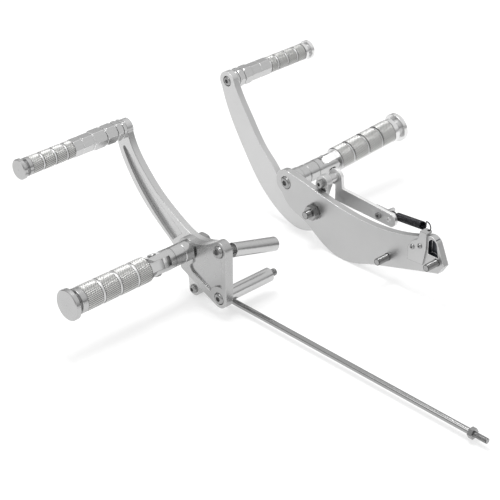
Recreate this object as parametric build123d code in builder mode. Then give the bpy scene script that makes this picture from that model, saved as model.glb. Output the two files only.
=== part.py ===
from build123d import *
import math
import os

os.makedirs("parts", exist_ok=True)

# Forward controls for a motorcycle: the shift side on the left, the brake side on the right.
# X points to the bike's right, Y forward, Z up. The origin is on the axis of the left lower
# frame bolt, at the frame end of its spacer.

# Clearances
FLAT_GAP = 0.2           # between flat faces that slide past each other
RUN_FIT = 0.05           # radial, a journal in its bush
BOLT_FIT = 0.15          # radial, a bolt in its hole
CLEAR_FIT = 0.4          # radial, a loose hole

# Shared stock
PLATE_T = 9.5            # levers, pedal and right main plate
BRACKET_T = 12.0
WASHER_T = 1.5
BIG_BOLT_R = 6.35        # peg and pivot bolts
MID_BOLT_R = 4.75        # frame bolts
MID_THREAD_R = 4.5       # their threaded free ends
SMALL_BOLT_R = 4.0       # toe peg bolts
ROD_BOLT_R = 3.2
SCREW_R = 1.9
EDGE = 0.6               # broken edges
NUT_CHAMFER = 0.14       # of the corner radius

# Foot pegs, measured from the hinge pin outwards
PIN_R = 4.0
PIN_HEAD_R = 5.6
PIN_HEAD_T = 1.6
CLIP_T = 1.0
CLEVIS_R = 14.0
SLOT_W = 12.8
SLOT_DEPTH = 16.8
EAR_FLAT = 12.6          # half width over the flats of the ears
MOUNT_LEN = 54.6         # pin to the seat on the plate
COLLAR_LEN = 12.0
COLLAR_R = 13.6
SEAM = 0.8               # chamfer where two turned pieces meet
RING_AT = -25.6          # fine groove round the mount
RING_W = 0.8
RING_D = 1.0
SIDE_STEP = 15.5         # extra collar of the right peg
TONGUE_R = 12.0
PEG_R = 16.3
PEG_START = 15.8
PEG_END = 119.4
PEG_GROOVES = (38.6, 66.3, 93.3)
GROOVE_W = 2.2
GROOVE_D = 1.0
CAP_RING_R = PEG_R + 0.5
CAP_RING_T = 8.0
CAP_NECK_R = 12.5
CAP_NECK_T = 6.0
CAP_R = 20.5
CAP_T = 7.0
STUD_R = 5.0             # spigot of a cap in its barrel
STUD_LEN = 15.0

# Toe peg extensions, measured from the arm outwards; the brake side is the shorter one
HEX_R = 13.4             # to the corners
HEX_CHAMFER = 1.4
HEX_SLOPE = 2.2          # length of the chamfer along the bar
HEX_GROOVE_R = 10.0
HEX_GROOVE_W = 1.2
HEX_TURN = 25.0          # degrees that a flat is turned back from straight up
SMALL_HEX_R = 12.2
SEAM_D = 2.0
LEFT_STEPS = (5.8, 15.6, 33.3, 53.1)
LEFT_SEAM = 70.3
RIGHT_STEPS = (5.8, 16.2, 30.4)
RIGHT_SEAM = 47.3
LEFT_TOE_START = 84.0
RIGHT_TOE_START = 66.0

# Toe pegs, measured from the end of the extension outwards
TOE_LEN = 67.5
TOE_R = 11.3
TOE_GROOVES = (13.5, 31.6, 50.4)
TOE_CAP_RING_T = 5.0
TOE_CAP_NECK_R = 9.0
TOE_CAP_NECK_T = 5.0
TOE_CAP_R = 13.4
TOE_CAP_T = 5.8
TOE_BOLT_DEPTH = 28.0

# Left side places
SPACER_LEN = 76.2
SPACER_R = 9.5
STUD_PROUD = 10.0        # lower frame bolt past its spacer
BOLT_SPAN = 68.0         # between the two frame bolts
BR_IN = -SPACER_LEN      # inboard face of the bracket
BR_OUT = BR_IN - BRACKET_T
PEG_Y = 59.0             # left foot peg axis
PEG_Z = 46.5
DROOP = 15.3             # degrees, loose upper bolt and its spacer
DROOP_GAP = 11.5         # bracket to the loose spacer
DROOP_LIFT = 2.2         # head of the loose bolt off its seat
LEVER_OUT = BR_IN + WASHER_T
LEVER_IN = LEVER_OUT + PLATE_T
TOE_DY = 137.0           # toe peg axis from the pivot
TOE_DZ = 118.0
ROD_DY = 3.0             # rod bolt from the pivot
ROD_DZ = -64.0
LEFT_PIN_TILT = 65.2     # degrees of the hinge pin above level

# Shift rod
ROD_R = 3.97
ROD_END_R = 9.5
ROD_END_T = 9.0
ROD_BALL_R = 7.4
ROD_SHANK = 22.0         # rod bolt to the end of the threaded shank
ROD_BACK = -391.0        # rear end of the rod in Y
ROD_STUD_R = 3.2
ROD_STUD_ROOT_R = 3.5    # under the rear jam nut
ROD_STUD_LEN = 19.0      # behind the jam nut
JAM_R = 7.2
JAM_T = 6.0

# Right side places
RX_IN = BR_OUT + 218.8   # inboard face of the main plate
RX_OUT = RX_IN + PLATE_T
RPEG_Y = PEG_Y + 43.5
RPEG_Z = PEG_Z
RIGHT_PIN_TILT = 20.0
RIGHT_PEG_RISE = 5.5     # degrees that the right peg stands above level
PIVOT_DY = -56.0         # pedal pivot from the peg axis
PIVOT_DZ = -21.4
LINK_DY = -57.0          # link bolt from the peg axis
LINK_DZ = 17.0
PEDAL_IN = RX_OUT + 2.0
PEDAL_OUT = PEDAL_IN + PLATE_T
RTOE_DY = 127.5
RTOE_DZ = 104.6
BAR_T = 5.0
BAR_IN = PEDAL_OUT + 16.0
BAR_OUT = BAR_IN + BAR_T
FRAME_BOLTS = ((-188.2, -37.2), (-271.0, -11.0))
FRAME_BOLT_REACH = 20.0
TAB_T = 2.0
TAB_SCREWS = ((-231.6, -3.0), (-244.0, 3.0))
TAB_HOOK = (7.0, -250.0, 22.5)       # from the inboard face, peg axis
LUG_HOOK = (52.0, -148.0, -6.0)
SPRING_R = 5.2
WIRE_R = 0.8


def shift(y0, z0, points):
    """Outline points moved from a group's own axis to the model."""
    return [(y0 + y, z0 + z) for y, z in points]


def tangent(centre, radius, point, side):
    """Where the line from a point touches a circle; side is -1 below or 1 above."""
    dy, dz = point[0] - centre[0], point[1] - centre[1]
    angle = math.atan2(dz, dy) + side * math.acos(radius / math.hypot(dy, dz))
    return centre[0] + radius * math.cos(angle), centre[1] + radius * math.sin(angle)


def round_x(radius, x_from, x_to, y, z, mode=Mode.ADD):
    """Round bar along X between two stations."""
    with Locations(Location((x_from, y, z), (0, 90, 0))):
        Cylinder(radius, x_to - x_from, align=(Align.CENTER, Align.CENTER, Align.MIN), mode=mode)


def hex_x(corner_r, x_from, x_to, y, z, mode=Mode.ADD):
    """Hexagonal bar along X."""
    with BuildSketch(Plane.YZ.offset(x_from)) as section:
        with Locations((y, z)):
            RegularPolygon(corner_r, 6)
    extrude(section.sketch, amount=x_to - x_from, mode=mode)


def hex_head(corner_r, x_from, x_to, y, z):
    """Hexagonal head or nut along X with its corners turned off at both ends."""
    turn = corner_r * NUT_CHAMFER
    with BuildSketch(Plane.YZ.offset(x_from)) as section:
        with Locations((y, z)):
            RegularPolygon(corner_r, 6)
    prism = extrude(section.sketch, amount=x_to - x_from, mode=Mode.PRIVATE)
    with BuildSketch(Plane.XY) as profile:
        with BuildLine():
            Polyline((0, 0), (0, corner_r - turn), (turn / 2, corner_r),
                     (x_to - x_from - turn / 2, corner_r), (x_to - x_from, corner_r - turn),
                     (x_to - x_from, 0), close=True)
        make_face()
    barrel = revolve(profile.sketch, axis=Axis.X, mode=Mode.PRIVATE)
    add(prism & barrel.moved(Location((x_from, y, z))))


def turned(stations, mode=Mode.ADD):
    """Solid turned about Z from (radius, height) stations."""
    with BuildSketch(Plane.XZ) as section:
        with BuildLine():
            Polyline(*stations, close=True)
        make_face()
    revolve(section.sketch, axis=Axis.Z, mode=mode)


def button_head(x_seat, side, radius, height, y, z):
    """Domed head with a hexagon socket, on a seat that faces side, -1 or 1 along X."""
    with BuildSketch(Plane.XY) as section:
        with BuildLine():
            Line((0, 0), (0, radius))
            Line((0, radius), (side * height * 0.35, radius))
            ThreePointArc((side * height * 0.35, radius), (side * height * 0.82, radius * 0.8),
                          (side * height, radius * 0.5))
            Line((side * height, radius * 0.5), (side * height, 0))
            Line((side * height, 0), (0, 0))
        make_face()
    head = revolve(section.sketch, axis=Axis.X, mode=Mode.PRIVATE)
    with Locations((x_seat, y, z)):
        add(head)
    floor = x_seat + side * height * 0.4
    tip = x_seat + side * height
    hex_x(radius * 0.46, min(floor, tip), max(floor, tip), y, z, Mode.SUBTRACT)


def socket_head(x_seat, side, radius, height, y, z):
    """Cylindrical head with a hexagon socket."""
    tip = x_seat + side * height
    floor = x_seat + side * height * 0.4
    round_x(radius, min(x_seat, tip), max(x_seat, tip), y, z)
    hex_x(radius * 0.5, min(floor, tip), max(floor, tip), y, z, Mode.SUBTRACT)


def finish(piece, name):
    """Name a finished piece and write it."""
    piece.part.label = name
    export_step(piece.part, "parts/" + name + ".step")


# Foot peg shapes, drawn about the hinge pin: the pin lies along X, the peg points along Z
TONGUE_T = SLOT_W - 2 * FLAT_GAP
MOUNT_SEAT = COLLAR_LEN - MOUNT_LEN
BOLT_BITE = -SLOT_DEPTH - 5.0

with BuildPart() as peg_shape:
    outline = [(0, PEG_START), (PEG_R - EDGE, PEG_START), (PEG_R, PEG_START + EDGE)]
    for groove in PEG_GROOVES:
        outline += [(PEG_R, groove - GROOVE_W / 2), (PEG_R - GROOVE_D, groove - GROOVE_W / 2),
                    (PEG_R - GROOVE_D, groove + GROOVE_W / 2), (PEG_R, groove + GROOVE_W / 2)]
    outline += [(PEG_R, PEG_END), (0, PEG_END)]
    turned(outline)
    with BuildSketch(Plane.YZ.offset(-TONGUE_T / 2)):
        Circle(TONGUE_R)
        with Locations((0, PEG_START / 2 + 0.5)):
            Rectangle(2 * TONGUE_R, PEG_START + 1)
    extrude(amount=TONGUE_T)
    round_x(PIN_R + RUN_FIT, -TONGUE_T, TONGUE_T, 0, 0, Mode.SUBTRACT)
    with Locations((0, 0, PEG_END - STUD_LEN)):
        Cylinder(STUD_R + RUN_FIT, STUD_LEN, align=(Align.CENTER, Align.CENTER, Align.MIN),
                 mode=Mode.SUBTRACT)

CAP_BASE = PEG_END
CAP_DISC = CAP_BASE + CAP_RING_T + CAP_NECK_T
with BuildPart() as peg_cap_shape:
    turned([(0, CAP_BASE - STUD_LEN + 1), (STUD_R, CAP_BASE - STUD_LEN + 1), (STUD_R, CAP_BASE),
            (CAP_RING_R, CAP_BASE), (CAP_RING_R, CAP_BASE + CAP_RING_T - EDGE),
            (CAP_RING_R - EDGE, CAP_BASE + CAP_RING_T), (CAP_NECK_R, CAP_BASE + CAP_RING_T),
            (CAP_NECK_R, CAP_DISC), (CAP_R - EDGE, CAP_DISC), (CAP_R, CAP_DISC + EDGE),
            (CAP_R, CAP_DISC + CAP_T - 2 * EDGE), (CAP_R - 2 * EDGE, CAP_DISC + CAP_T - EDGE / 2),
            (0, CAP_DISC + CAP_T)])

with BuildPart() as mount_shape:
    turned([(0, MOUNT_SEAT), (COLLAR_R - SEAM, MOUNT_SEAT), (COLLAR_R, MOUNT_SEAT + SEAM),
            (COLLAR_R, RING_AT - RING_W / 2), (COLLAR_R - RING_D, RING_AT - RING_W / 2),
            (COLLAR_R - RING_D, RING_AT + RING_W / 2), (COLLAR_R, RING_AT + RING_W / 2),
            (CLEVIS_R, -SLOT_DEPTH - 4), (CLEVIS_R, CLEVIS_R), (0, CLEVIS_R)])
    with BuildSketch(Plane.YZ.offset(-CLEVIS_R)):
        Circle(CLEVIS_R)
        with Locations((0, MOUNT_SEAT / 2)):
            Rectangle(2 * CLEVIS_R, -MOUNT_SEAT)
    extrude(amount=2 * CLEVIS_R, mode=Mode.INTERSECT)
    with Locations((0, 0, -SLOT_DEPTH)):
        Box(SLOT_W, 3 * CLEVIS_R, 3 * CLEVIS_R, align=(Align.CENTER, Align.CENTER, Align.MIN),
            mode=Mode.SUBTRACT)
    with Locations((EAR_FLAT, 0, 0), (-EAR_FLAT - CLEVIS_R, 0, 0)):
        Box(CLEVIS_R, 3 * CLEVIS_R, 2 * CLEVIS_R, align=(Align.MIN, Align.CENTER, Align.CENTER),
            mode=Mode.SUBTRACT)
    round_x(PIN_R + RUN_FIT, -2 * CLEVIS_R, 2 * CLEVIS_R, 0, 0, Mode.SUBTRACT)
    with Locations((0, 0, MOUNT_SEAT)):
        Cylinder(BIG_BOLT_R + BOLT_FIT, BOLT_BITE - MOUNT_SEAT + 2, mode=Mode.SUBTRACT,
                 align=(Align.CENTER, Align.CENTER, Align.MIN))

with BuildPart() as collar_shape:
    turned([(BIG_BOLT_R + BOLT_FIT, -MOUNT_LEN), (COLLAR_R, -MOUNT_LEN), (COLLAR_R, MOUNT_SEAT - SEAM),
            (COLLAR_R - SEAM, MOUNT_SEAT), (BIG_BOLT_R + BOLT_FIT, MOUNT_SEAT)])

CLIP_IN = EAR_FLAT + 0.1
with BuildPart() as pin_shape:
    round_x(PIN_R, -CLIP_IN - 2 * CLIP_T, EAR_FLAT, 0, 0)
    round_x(PIN_HEAD_R, EAR_FLAT, EAR_FLAT + PIN_HEAD_T, 0, 0)
    chamfer(pin_shape.edges().group_by(Axis.X)[-1], 0.5)
    with BuildSketch(Plane.YZ.offset(-CLIP_IN - CLIP_T - 0.05)) as neck:
        Circle(2 * PIN_R)
        Circle(PIN_R - 0.7, mode=Mode.SUBTRACT)
    extrude(amount=CLIP_T + 0.1, mode=Mode.SUBTRACT)

with BuildPart() as clip_shape:
    washer_r = PIN_R - 0.65
    round_x(PIN_HEAD_R, -CLIP_IN - CLIP_T, -CLIP_IN, 0, 0)
    round_x(washer_r, -CLIP_IN - CLIP_T, -CLIP_IN, 0, 0, Mode.SUBTRACT)
    with Locations((-CLIP_IN - CLIP_T / 2, PIN_HEAD_R, 0)):
        Box(2 * CLIP_T, PIN_HEAD_R * 1.5, washer_r * 1.6, mode=Mode.SUBTRACT)


def pin_plane(origin, tilt, out, rise=0.0):
    """Pin frame: X along the hinge pin, tilt degrees above forward; Z outwards, folded up by rise."""
    across, up = math.cos(math.radians(tilt)), math.sin(math.radians(tilt))
    level, lift = math.cos(math.radians(rise)), math.sin(math.radians(rise))
    return Plane(origin=origin, x_dir=(0, across, up), z_dir=(out * level, -up * lift, across * lift))


LEFT_PIN = pin_plane((BR_OUT - MOUNT_LEN, PEG_Y, PEG_Z), LEFT_PIN_TILT, -1)
RIGHT_PIN_X = RX_OUT + SIDE_STEP + MOUNT_LEN
RIGHT_PIN = pin_plane((RIGHT_PIN_X, RPEG_Y, RPEG_Z), RIGHT_PIN_TILT, 1)
RIGHT_RAISED = pin_plane((RIGHT_PIN_X, RPEG_Y, RPEG_Z), RIGHT_PIN_TILT, 1, RIGHT_PEG_RISE)


def placed(shape, plane, name):
    """Copy a shape from its own frame to a plane and write it."""
    with BuildPart() as piece:
        with Locations(plane.location):
            add(shape.part)
    finish(piece, name)


for side, seat, raised in (("left", LEFT_PIN, LEFT_PIN), ("right", RIGHT_PIN, RIGHT_RAISED)):
    placed(mount_shape, seat, side + "_peg_mount")
    placed(collar_shape, seat, side + "_peg_collar")
    placed(pin_shape, seat, side + "_hinge_pin")
    placed(clip_shape, seat, side + "_hinge_clip")
    placed(peg_shape, raised, side + "_foot_peg")
    placed(peg_cap_shape, raised, side + "_foot_peg_cap")

LEFT_TOE = (PEG_Y + TOE_DY, PEG_Z + TOE_DZ)
RIGHT_TOE = (RPEG_Y + RTOE_DY, RPEG_Z + RTOE_DZ)


def extension(steps, seam, end, turn):
    """Hexagonal bar along Z with a narrow groove between its lengths and a thinner end."""
    with BuildSketch(Plane.XY) as section:
        RegularPolygon(HEX_R, 6, rotation=turn)
    extrude(section.sketch, amount=steps[-1])
    ridges = [(0, 0)]
    start = 0.0
    for step in steps:
        top = step - HEX_GROOVE_W if step != steps[-1] else step
        ridges += [(HEX_R - HEX_CHAMFER, start), (HEX_R, start + HEX_SLOPE), (HEX_R, top - HEX_SLOPE),
                   (HEX_R - HEX_CHAMFER, top)]
        if step != steps[-1]:
            ridges += [(HEX_GROOVE_R, top), (HEX_GROOVE_R, step)]
        start = step
    ridges += [(0, steps[-1])]
    turned(ridges, Mode.INTERSECT)
    with BuildSketch(Plane.XY.offset(steps[-1])) as section:
        RegularPolygon(SMALL_HEX_R, 6, rotation=turn)
    extrude(section.sketch, amount=end - steps[-1])
    turned([(SMALL_HEX_R - SEAM_D, seam), (SMALL_HEX_R, seam - HEX_GROOVE_W / 2),
            (SMALL_HEX_R, seam + HEX_GROOVE_W / 2)], Mode.SUBTRACT)
    Cylinder(SMALL_BOLT_R + BOLT_FIT, TOE_BOLT_DEPTH, align=(Align.CENTER, Align.CENTER, Align.MIN),
             mode=Mode.SUBTRACT)


# Toe peg shapes, drawn from the end of the extension outwards along Z
with BuildPart() as toe_shape:
    outline = [(0, 0), (TOE_R - EDGE, 0), (TOE_R, EDGE)]
    for groove in TOE_GROOVES:
        outline += [(TOE_R, groove - GROOVE_W / 2), (TOE_R - GROOVE_D, groove - GROOVE_W / 2),
                    (TOE_R - GROOVE_D, groove + GROOVE_W / 2), (TOE_R, groove + GROOVE_W / 2)]
    outline += [(TOE_R, TOE_LEN), (0, TOE_LEN)]
    turned(outline)
    with Locations((0, 0, TOE_LEN - STUD_LEN)):
        Cylinder(STUD_R + RUN_FIT, STUD_LEN, align=(Align.CENTER, Align.CENTER, Align.MIN),
                 mode=Mode.SUBTRACT)

TOE_DISC = TOE_LEN + TOE_CAP_RING_T + TOE_CAP_NECK_T
with BuildPart() as toe_cap_shape:
    turned([(0, TOE_LEN - STUD_LEN + 1), (STUD_R, TOE_LEN - STUD_LEN + 1), (STUD_R, TOE_LEN),
            (TOE_R + EDGE, TOE_LEN), (TOE_R + EDGE, TOE_LEN + TOE_CAP_RING_T),
            (TOE_CAP_NECK_R, TOE_LEN + TOE_CAP_RING_T), (TOE_CAP_NECK_R, TOE_DISC),
            (TOE_CAP_R - EDGE, TOE_DISC), (TOE_CAP_R, TOE_DISC + EDGE),
            (TOE_CAP_R, TOE_DISC + TOE_CAP_T - 2 * EDGE),
            (TOE_CAP_R - 2 * EDGE, TOE_DISC + TOE_CAP_T - EDGE / 2), (0, TOE_DISC + TOE_CAP_T)])

for side, way, face, toe, steps, seam, end in (
        ("left", -1, LEVER_OUT, LEFT_TOE, LEFT_STEPS, LEFT_SEAM, LEFT_TOE_START),
        ("right", 1, PEDAL_OUT, RIGHT_TOE, RIGHT_STEPS, RIGHT_SEAM, RIGHT_TOE_START)):
    with BuildPart() as extension_shape:
        extension(steps, seam, end, way * HEX_TURN)
    placed(extension_shape, Plane(origin=(face, *toe), x_dir=(0, 0, 1), z_dir=(way, 0, 0)),
           side + "_toe_extension")
    barrel_plane = Plane(origin=(face + way * end, *toe), x_dir=(0, 0, 1), z_dir=(way, 0, 0))
    placed(toe_shape, barrel_plane, side + "_toe_peg")
    placed(toe_cap_shape, barrel_plane, side + "_toe_peg_cap")

TOE_HEAD_R = 7.2
TOE_HEAD_H = 4.0
TOE_SINK = 3.0
for side, way, far_face, toe in (("left", 1, LEVER_IN, LEFT_TOE), ("right", -1, PEDAL_IN, RIGHT_TOE)):
    seat = far_face - way * TOE_SINK
    end = seat - way * (PLATE_T - TOE_SINK + TOE_BOLT_DEPTH - 2)
    with BuildPart() as toe_bolt:
        round_x(SMALL_BOLT_R, min(seat, end), max(seat, end), *toe)
        button_head(seat, way, TOE_HEAD_R, TOE_HEAD_H, *toe)
    finish(toe_bolt, side + "_toe_bolt")


def toe_seat(far_face, way, toe):
    """Bolt hole and counterbore of a toe peg, sunk from the far face of its arm."""
    seat = far_face - way * TOE_SINK
    round_x(SMALL_BOLT_R + BOLT_FIT, far_face - 2 * PLATE_T, far_face + 2 * PLATE_T, *toe, Mode.SUBTRACT)
    round_x(TOE_HEAD_R + CLEAR_FIT, min(seat, seat + way * PLATE_T), max(seat, seat + way * PLATE_T),
            *toe, Mode.SUBTRACT)


# Left bracket: a fan between the peg axis and the two frame bolts, lightened on its outer face
BOSS_R = 13.2
PEG_BOSS_R = 17.0
BRACKET_TOE = (PEG_Y + 12.5, PEG_Z - 31.0)
POCKET_D = 2.5
POCKET_EDGE = 0.5        # broken edge round its rim
POCKET_DROP = 0.9        # its upper end below the middle of the outline's top arc
CREST_SHARE = 5.9 / 17   # share of the top arc's rise that is made by its middle
HEAD_R = 8.0
HEAD_H = 5.0
HEAD_SINK = 3.0
droop_cos, droop_sin = math.cos(math.radians(DROOP)), math.sin(math.radians(DROOP))
DROOP_SLOT = (BRACKET_T - HEAD_SINK + DROOP_LIFT) * droop_sin / droop_cos   # slot height past the bolt
crest_low = PEG_Z + 15.9
crest_rise = BOLT_SPAN + 11.4 - crest_low
crest_mid = crest_low + crest_rise * CREST_SHARE
pocket_top = crest_mid - POCKET_DROP - PEG_Z
with BuildPart() as left_bracket:
    with BuildSketch(Plane.YZ.offset(BR_OUT + EDGE)) as fan:
        with BuildLine():
            crest = ThreePointArc((PEG_Y - 6, crest_low), (PEG_Y - 34, crest_mid),
                                  (6.5, crest_low + crest_rise))
            Polyline(crest @ 1, (0, BOLT_SPAN), (-BOSS_R, BOLT_SPAN), (-BOSS_R, 0), (0, 0),
                     tangent((0, 0), BOSS_R, BRACKET_TOE, -1), BRACKET_TOE,
                     (PEG_Y + PEG_BOSS_R, PEG_Z), (PEG_Y, PEG_Z), crest @ 0)
        make_face()
        fillet(fan.vertices().sort_by_distance(BRACKET_TOE)[0], radius=5)
        with Locations((0, 0), (0, BOLT_SPAN)):
            Circle(BOSS_R)
        with Locations((PEG_Y, PEG_Z)):
            Circle(PEG_BOSS_R)
    extrude(amount=BRACKET_T - EDGE)
    extrude(fan.sketch, amount=-EDGE, taper=45)
    with BuildSketch(Plane.YZ.offset(BR_OUT)) as pocket:
        with BuildLine():
            Polyline(*shift(PEG_Y, PEG_Z, [(-10, 9.6), (-43, pocket_top), (-63.5, pocket_top),
                                           (-63.5, -42), (-45, -43), (-8.6, -26.7), (-4.9, -20.8),
                                           (-10.6, -14.1)]),
                     close=True)
        make_face()
        with Locations((0, BOLT_SPAN)):
            Circle(BOSS_R - 0.4, mode=Mode.SUBTRACT)
        with Locations((0, 0)):
            Circle(BOSS_R + 3.8, mode=Mode.SUBTRACT)
        fillet(pocket.vertices(), radius=1.2)
    extrude(amount=POCKET_D, mode=Mode.SUBTRACT)
    chamfer(left_bracket.faces().sort_by(Axis.X)[0].inner_wires()[0].edges(), POCKET_EDGE)
    round_x(MID_BOLT_R + BOLT_FIT, BR_OUT - 1, BR_IN + 1, 0, 0, Mode.SUBTRACT)
    for z in (0, BOLT_SPAN):
        round_x(HEAD_R + CLEAR_FIT, BR_OUT - 1, BR_OUT + HEAD_SINK, 0, z, Mode.SUBTRACT)
    with BuildSketch(Plane.YZ.offset(BR_OUT)):
        with Locations((0, BOLT_SPAN - DROOP_SLOT / 2)):
            SlotOverall(2 * (MID_BOLT_R + BOLT_FIT) + DROOP_SLOT + CLEAR_FIT, 2 * (MID_BOLT_R + BOLT_FIT),
                        rotation=90)
    extrude(amount=BRACKET_T, mode=Mode.SUBTRACT)
    round_x(BIG_BOLT_R + BOLT_FIT, BR_OUT - 1, BR_IN + 1, PEG_Y, PEG_Z, Mode.SUBTRACT)
finish(left_bracket, "left_bracket")

with BuildPart() as left_lower_frame_bolt:
    round_x(MID_BOLT_R, BR_OUT + HEAD_SINK, 0, 0, 0)
    round_x(MID_THREAD_R, 0, STUD_PROUD, 0, 0)
    chamfer(left_lower_frame_bolt.edges().group_by(Axis.X)[-1], EDGE)
    button_head(BR_OUT + HEAD_SINK, -1, HEAD_R, HEAD_H, 0, 0)
finish(left_lower_frame_bolt, "left_lower_frame_bolt")

with BuildPart() as left_lower_spacer:
    round_x(SPACER_R, BR_IN, 0, 0, 0)
    chamfer(left_lower_spacer.edges().filter_by(GeomType.CIRCLE), EDGE)
    round_x(MID_BOLT_R + BOLT_FIT, BR_IN - 1, 1, 0, 0, Mode.SUBTRACT)
finish(left_lower_spacer, "left_lower_spacer")

# The upper bolt is loose: it hangs in its slot with the spacer on its end, so both droop.
# Both are drawn along X from the bolt's seat, then turned down about it.
LOOSE = Plane(origin=(BR_OUT + HEAD_SINK - DROOP_LIFT, 0, BOLT_SPAN),
              x_dir=(droop_cos, 0, -droop_sin), z_dir=(droop_sin, 0, droop_cos))
LOOSE_START = (BRACKET_T - HEAD_SINK + DROOP_LIFT + DROOP_GAP) / droop_cos
LOOSE_BITE = 14.0
with BuildPart() as loose_bolt_shape:
    round_x(MID_BOLT_R, 0, LOOSE_START + LOOSE_BITE, 0, 0)
    chamfer(loose_bolt_shape.edges().group_by(Axis.X)[-1], EDGE)
    button_head(0, -1, HEAD_R, HEAD_H, 0, 0)
placed(loose_bolt_shape, LOOSE, "left_upper_frame_bolt")

with BuildPart() as loose_spacer_shape:
    round_x(SPACER_R, LOOSE_START, LOOSE_START + SPACER_LEN, 0, 0)
    chamfer(loose_spacer_shape.edges().filter_by(GeomType.CIRCLE), EDGE)
    round_x(MID_BOLT_R + BOLT_FIT, LOOSE_START, LOOSE_START + SPACER_LEN, 0, 0, Mode.SUBTRACT)
placed(loose_spacer_shape, LOOSE, "left_upper_spacer")

# Shift lever: a curved arm up to the toe peg, an arm down to the rod and a short tail behind
LEVER_TOE_R = 11.8
LEVER_BUSH_R = 8.5
LEVER_HUB_R = 13.5
ROD_BOSS_R = 9.5
FLUTE_D = 4.5            # at its lower end by the front edge
FLUTE_FALL = (0.094, -0.107)     # gain of depth per mm forward and per mm up
FLUTE_LOW = (60.0, 4.7)
ROD_BOLT = (PEG_Y + ROD_DY, PEG_Z + ROD_DZ)
with BuildPart() as shift_lever:
    with BuildSketch(Plane.YZ.offset(LEVER_OUT)) as web:
        with BuildLine():
            front = Spline(*shift(PEG_Y, PEG_Z, [(148.6, 116), (144.6, 90), (130.9, 65.4), (109.5, 38.3),
                                                 (81.9, 13.7), (50, -8.5), (21.5, -34), (12.4, -62)]))
            Polyline(front @ 1, ROD_BOLT,
                     *shift(PEG_Y, PEG_Z, [(-6.4, -63), (-15, -22), (-28, 4), (-44, 19), (-47, 26.5)]))
            back = Spline(*shift(PEG_Y, PEG_Z, [(-47, 26.5), (-22, 16.2), (4.3, 14.8), (24, 22),
                                                (44, 32.4), (68, 47.2), (94.4, 70), (113.4, 91.5),
                                                (125.6, 115.4)]))
            Polyline(back @ 1, LEFT_TOE, front @ 0)
        make_face()
        with Locations(LEFT_TOE):
            Circle(LEVER_TOE_R)
        with Locations(ROD_BOLT):
            Circle(ROD_BOSS_R)
        with Locations((PEG_Y, PEG_Z)):
            Circle(LEVER_HUB_R)
    extrude(amount=PLATE_T)
    chamfer(shift_lever.edges().group_by(Axis.X)[0], EDGE)
    with BuildSketch(Plane.YZ.offset(LEVER_OUT - 1)) as flute:
        with BuildLine():
            low = Spline(*shift(PEG_Y, PEG_Z, [(135.6, 90.6), (122.5, 68.5), (100.9, 41.6),
                                               (74.3, 16.7), (42, -7)]))
            high = Spline(*shift(PEG_Y, PEG_Z, [(25, 9), (50, 26.4), (82.9, 48.6),
                                                (108.7, 73.6), (130.2, 93.4)]))
            Line(low @ 1, high @ 0)
            ThreePointArc(high @ 1, (PEG_Y + 134.8, PEG_Z + 94.2), low @ 0)
        make_face()
    scoop = extrude(flute.sketch, amount=PLATE_T, mode=Mode.PRIVATE)
    bed = Plane(origin=(LEVER_OUT + FLUTE_D, PEG_Y + FLUTE_LOW[0], PEG_Z + FLUTE_LOW[1]),
                z_dir=(1, -FLUTE_FALL[0], -FLUTE_FALL[1]))
    with Locations(bed.location):
        above = Box(2 * TOE_DY, 2 * TOE_DY, 2 * TOE_DY, align=(Align.CENTER, Align.CENTER, Align.MAX),
                    mode=Mode.PRIVATE)
    add(scoop & above, mode=Mode.SUBTRACT)
    round_x(LEVER_BUSH_R, LEVER_OUT - 1, LEVER_IN + 1, PEG_Y, PEG_Z, Mode.SUBTRACT)
    round_x(ROD_BOLT_R + BOLT_FIT, LEVER_OUT - 1, LEVER_IN + 1, *ROD_BOLT, Mode.SUBTRACT)
    toe_seat(LEVER_IN, 1, LEFT_TOE)
finish(shift_lever, "shift_lever")

with BuildPart() as lever_bush:
    round_x(LEVER_BUSH_R, LEVER_OUT, LEVER_IN, PEG_Y, PEG_Z)
    round_x(BIG_BOLT_R + RUN_FIT, LEVER_OUT, LEVER_IN, PEG_Y, PEG_Z, Mode.SUBTRACT)
finish(lever_bush, "lever_bush")

PIVOT_WASHER_R = 12.0
with BuildPart() as lever_washer:
    round_x(PIVOT_WASHER_R, BR_IN, LEVER_OUT, PEG_Y, PEG_Z)
    round_x(BIG_BOLT_R + BOLT_FIT, BR_IN, LEVER_OUT, PEG_Y, PEG_Z, Mode.SUBTRACT)
finish(lever_washer, "lever_washer")

# Peg bolts: the left one is also the lever's pivot, the right one sits on the main plate
PEG_HEX_R = 13.5
PEG_HEX_H = 8.0
with BuildPart() as left_peg_bolt:
    round_x(BIG_BOLT_R, BR_OUT - MOUNT_LEN - BOLT_BITE, LEVER_IN + FLAT_GAP, PEG_Y, PEG_Z)
    seat = LEVER_IN + FLAT_GAP
    round_x(PEG_HEX_R, seat, seat + WASHER_T, PEG_Y, PEG_Z)
    hex_head(PEG_HEX_R, seat + WASHER_T, seat + WASHER_T + PEG_HEX_H, PEG_Y, PEG_Z)
finish(left_peg_bolt, "left_peg_bolt")

RPEG_HEAD_R = 9.0
RPEG_SINK = 2.5
with BuildPart() as right_peg_bolt:
    round_x(BIG_BOLT_R, RX_IN + RPEG_SINK, RIGHT_PIN_X + BOLT_BITE, RPEG_Y, RPEG_Z)
    button_head(RX_IN + RPEG_SINK, -1, RPEG_HEAD_R, HEAD_H, RPEG_Y, RPEG_Z)
finish(right_peg_bolt, "right_peg_bolt")

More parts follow.
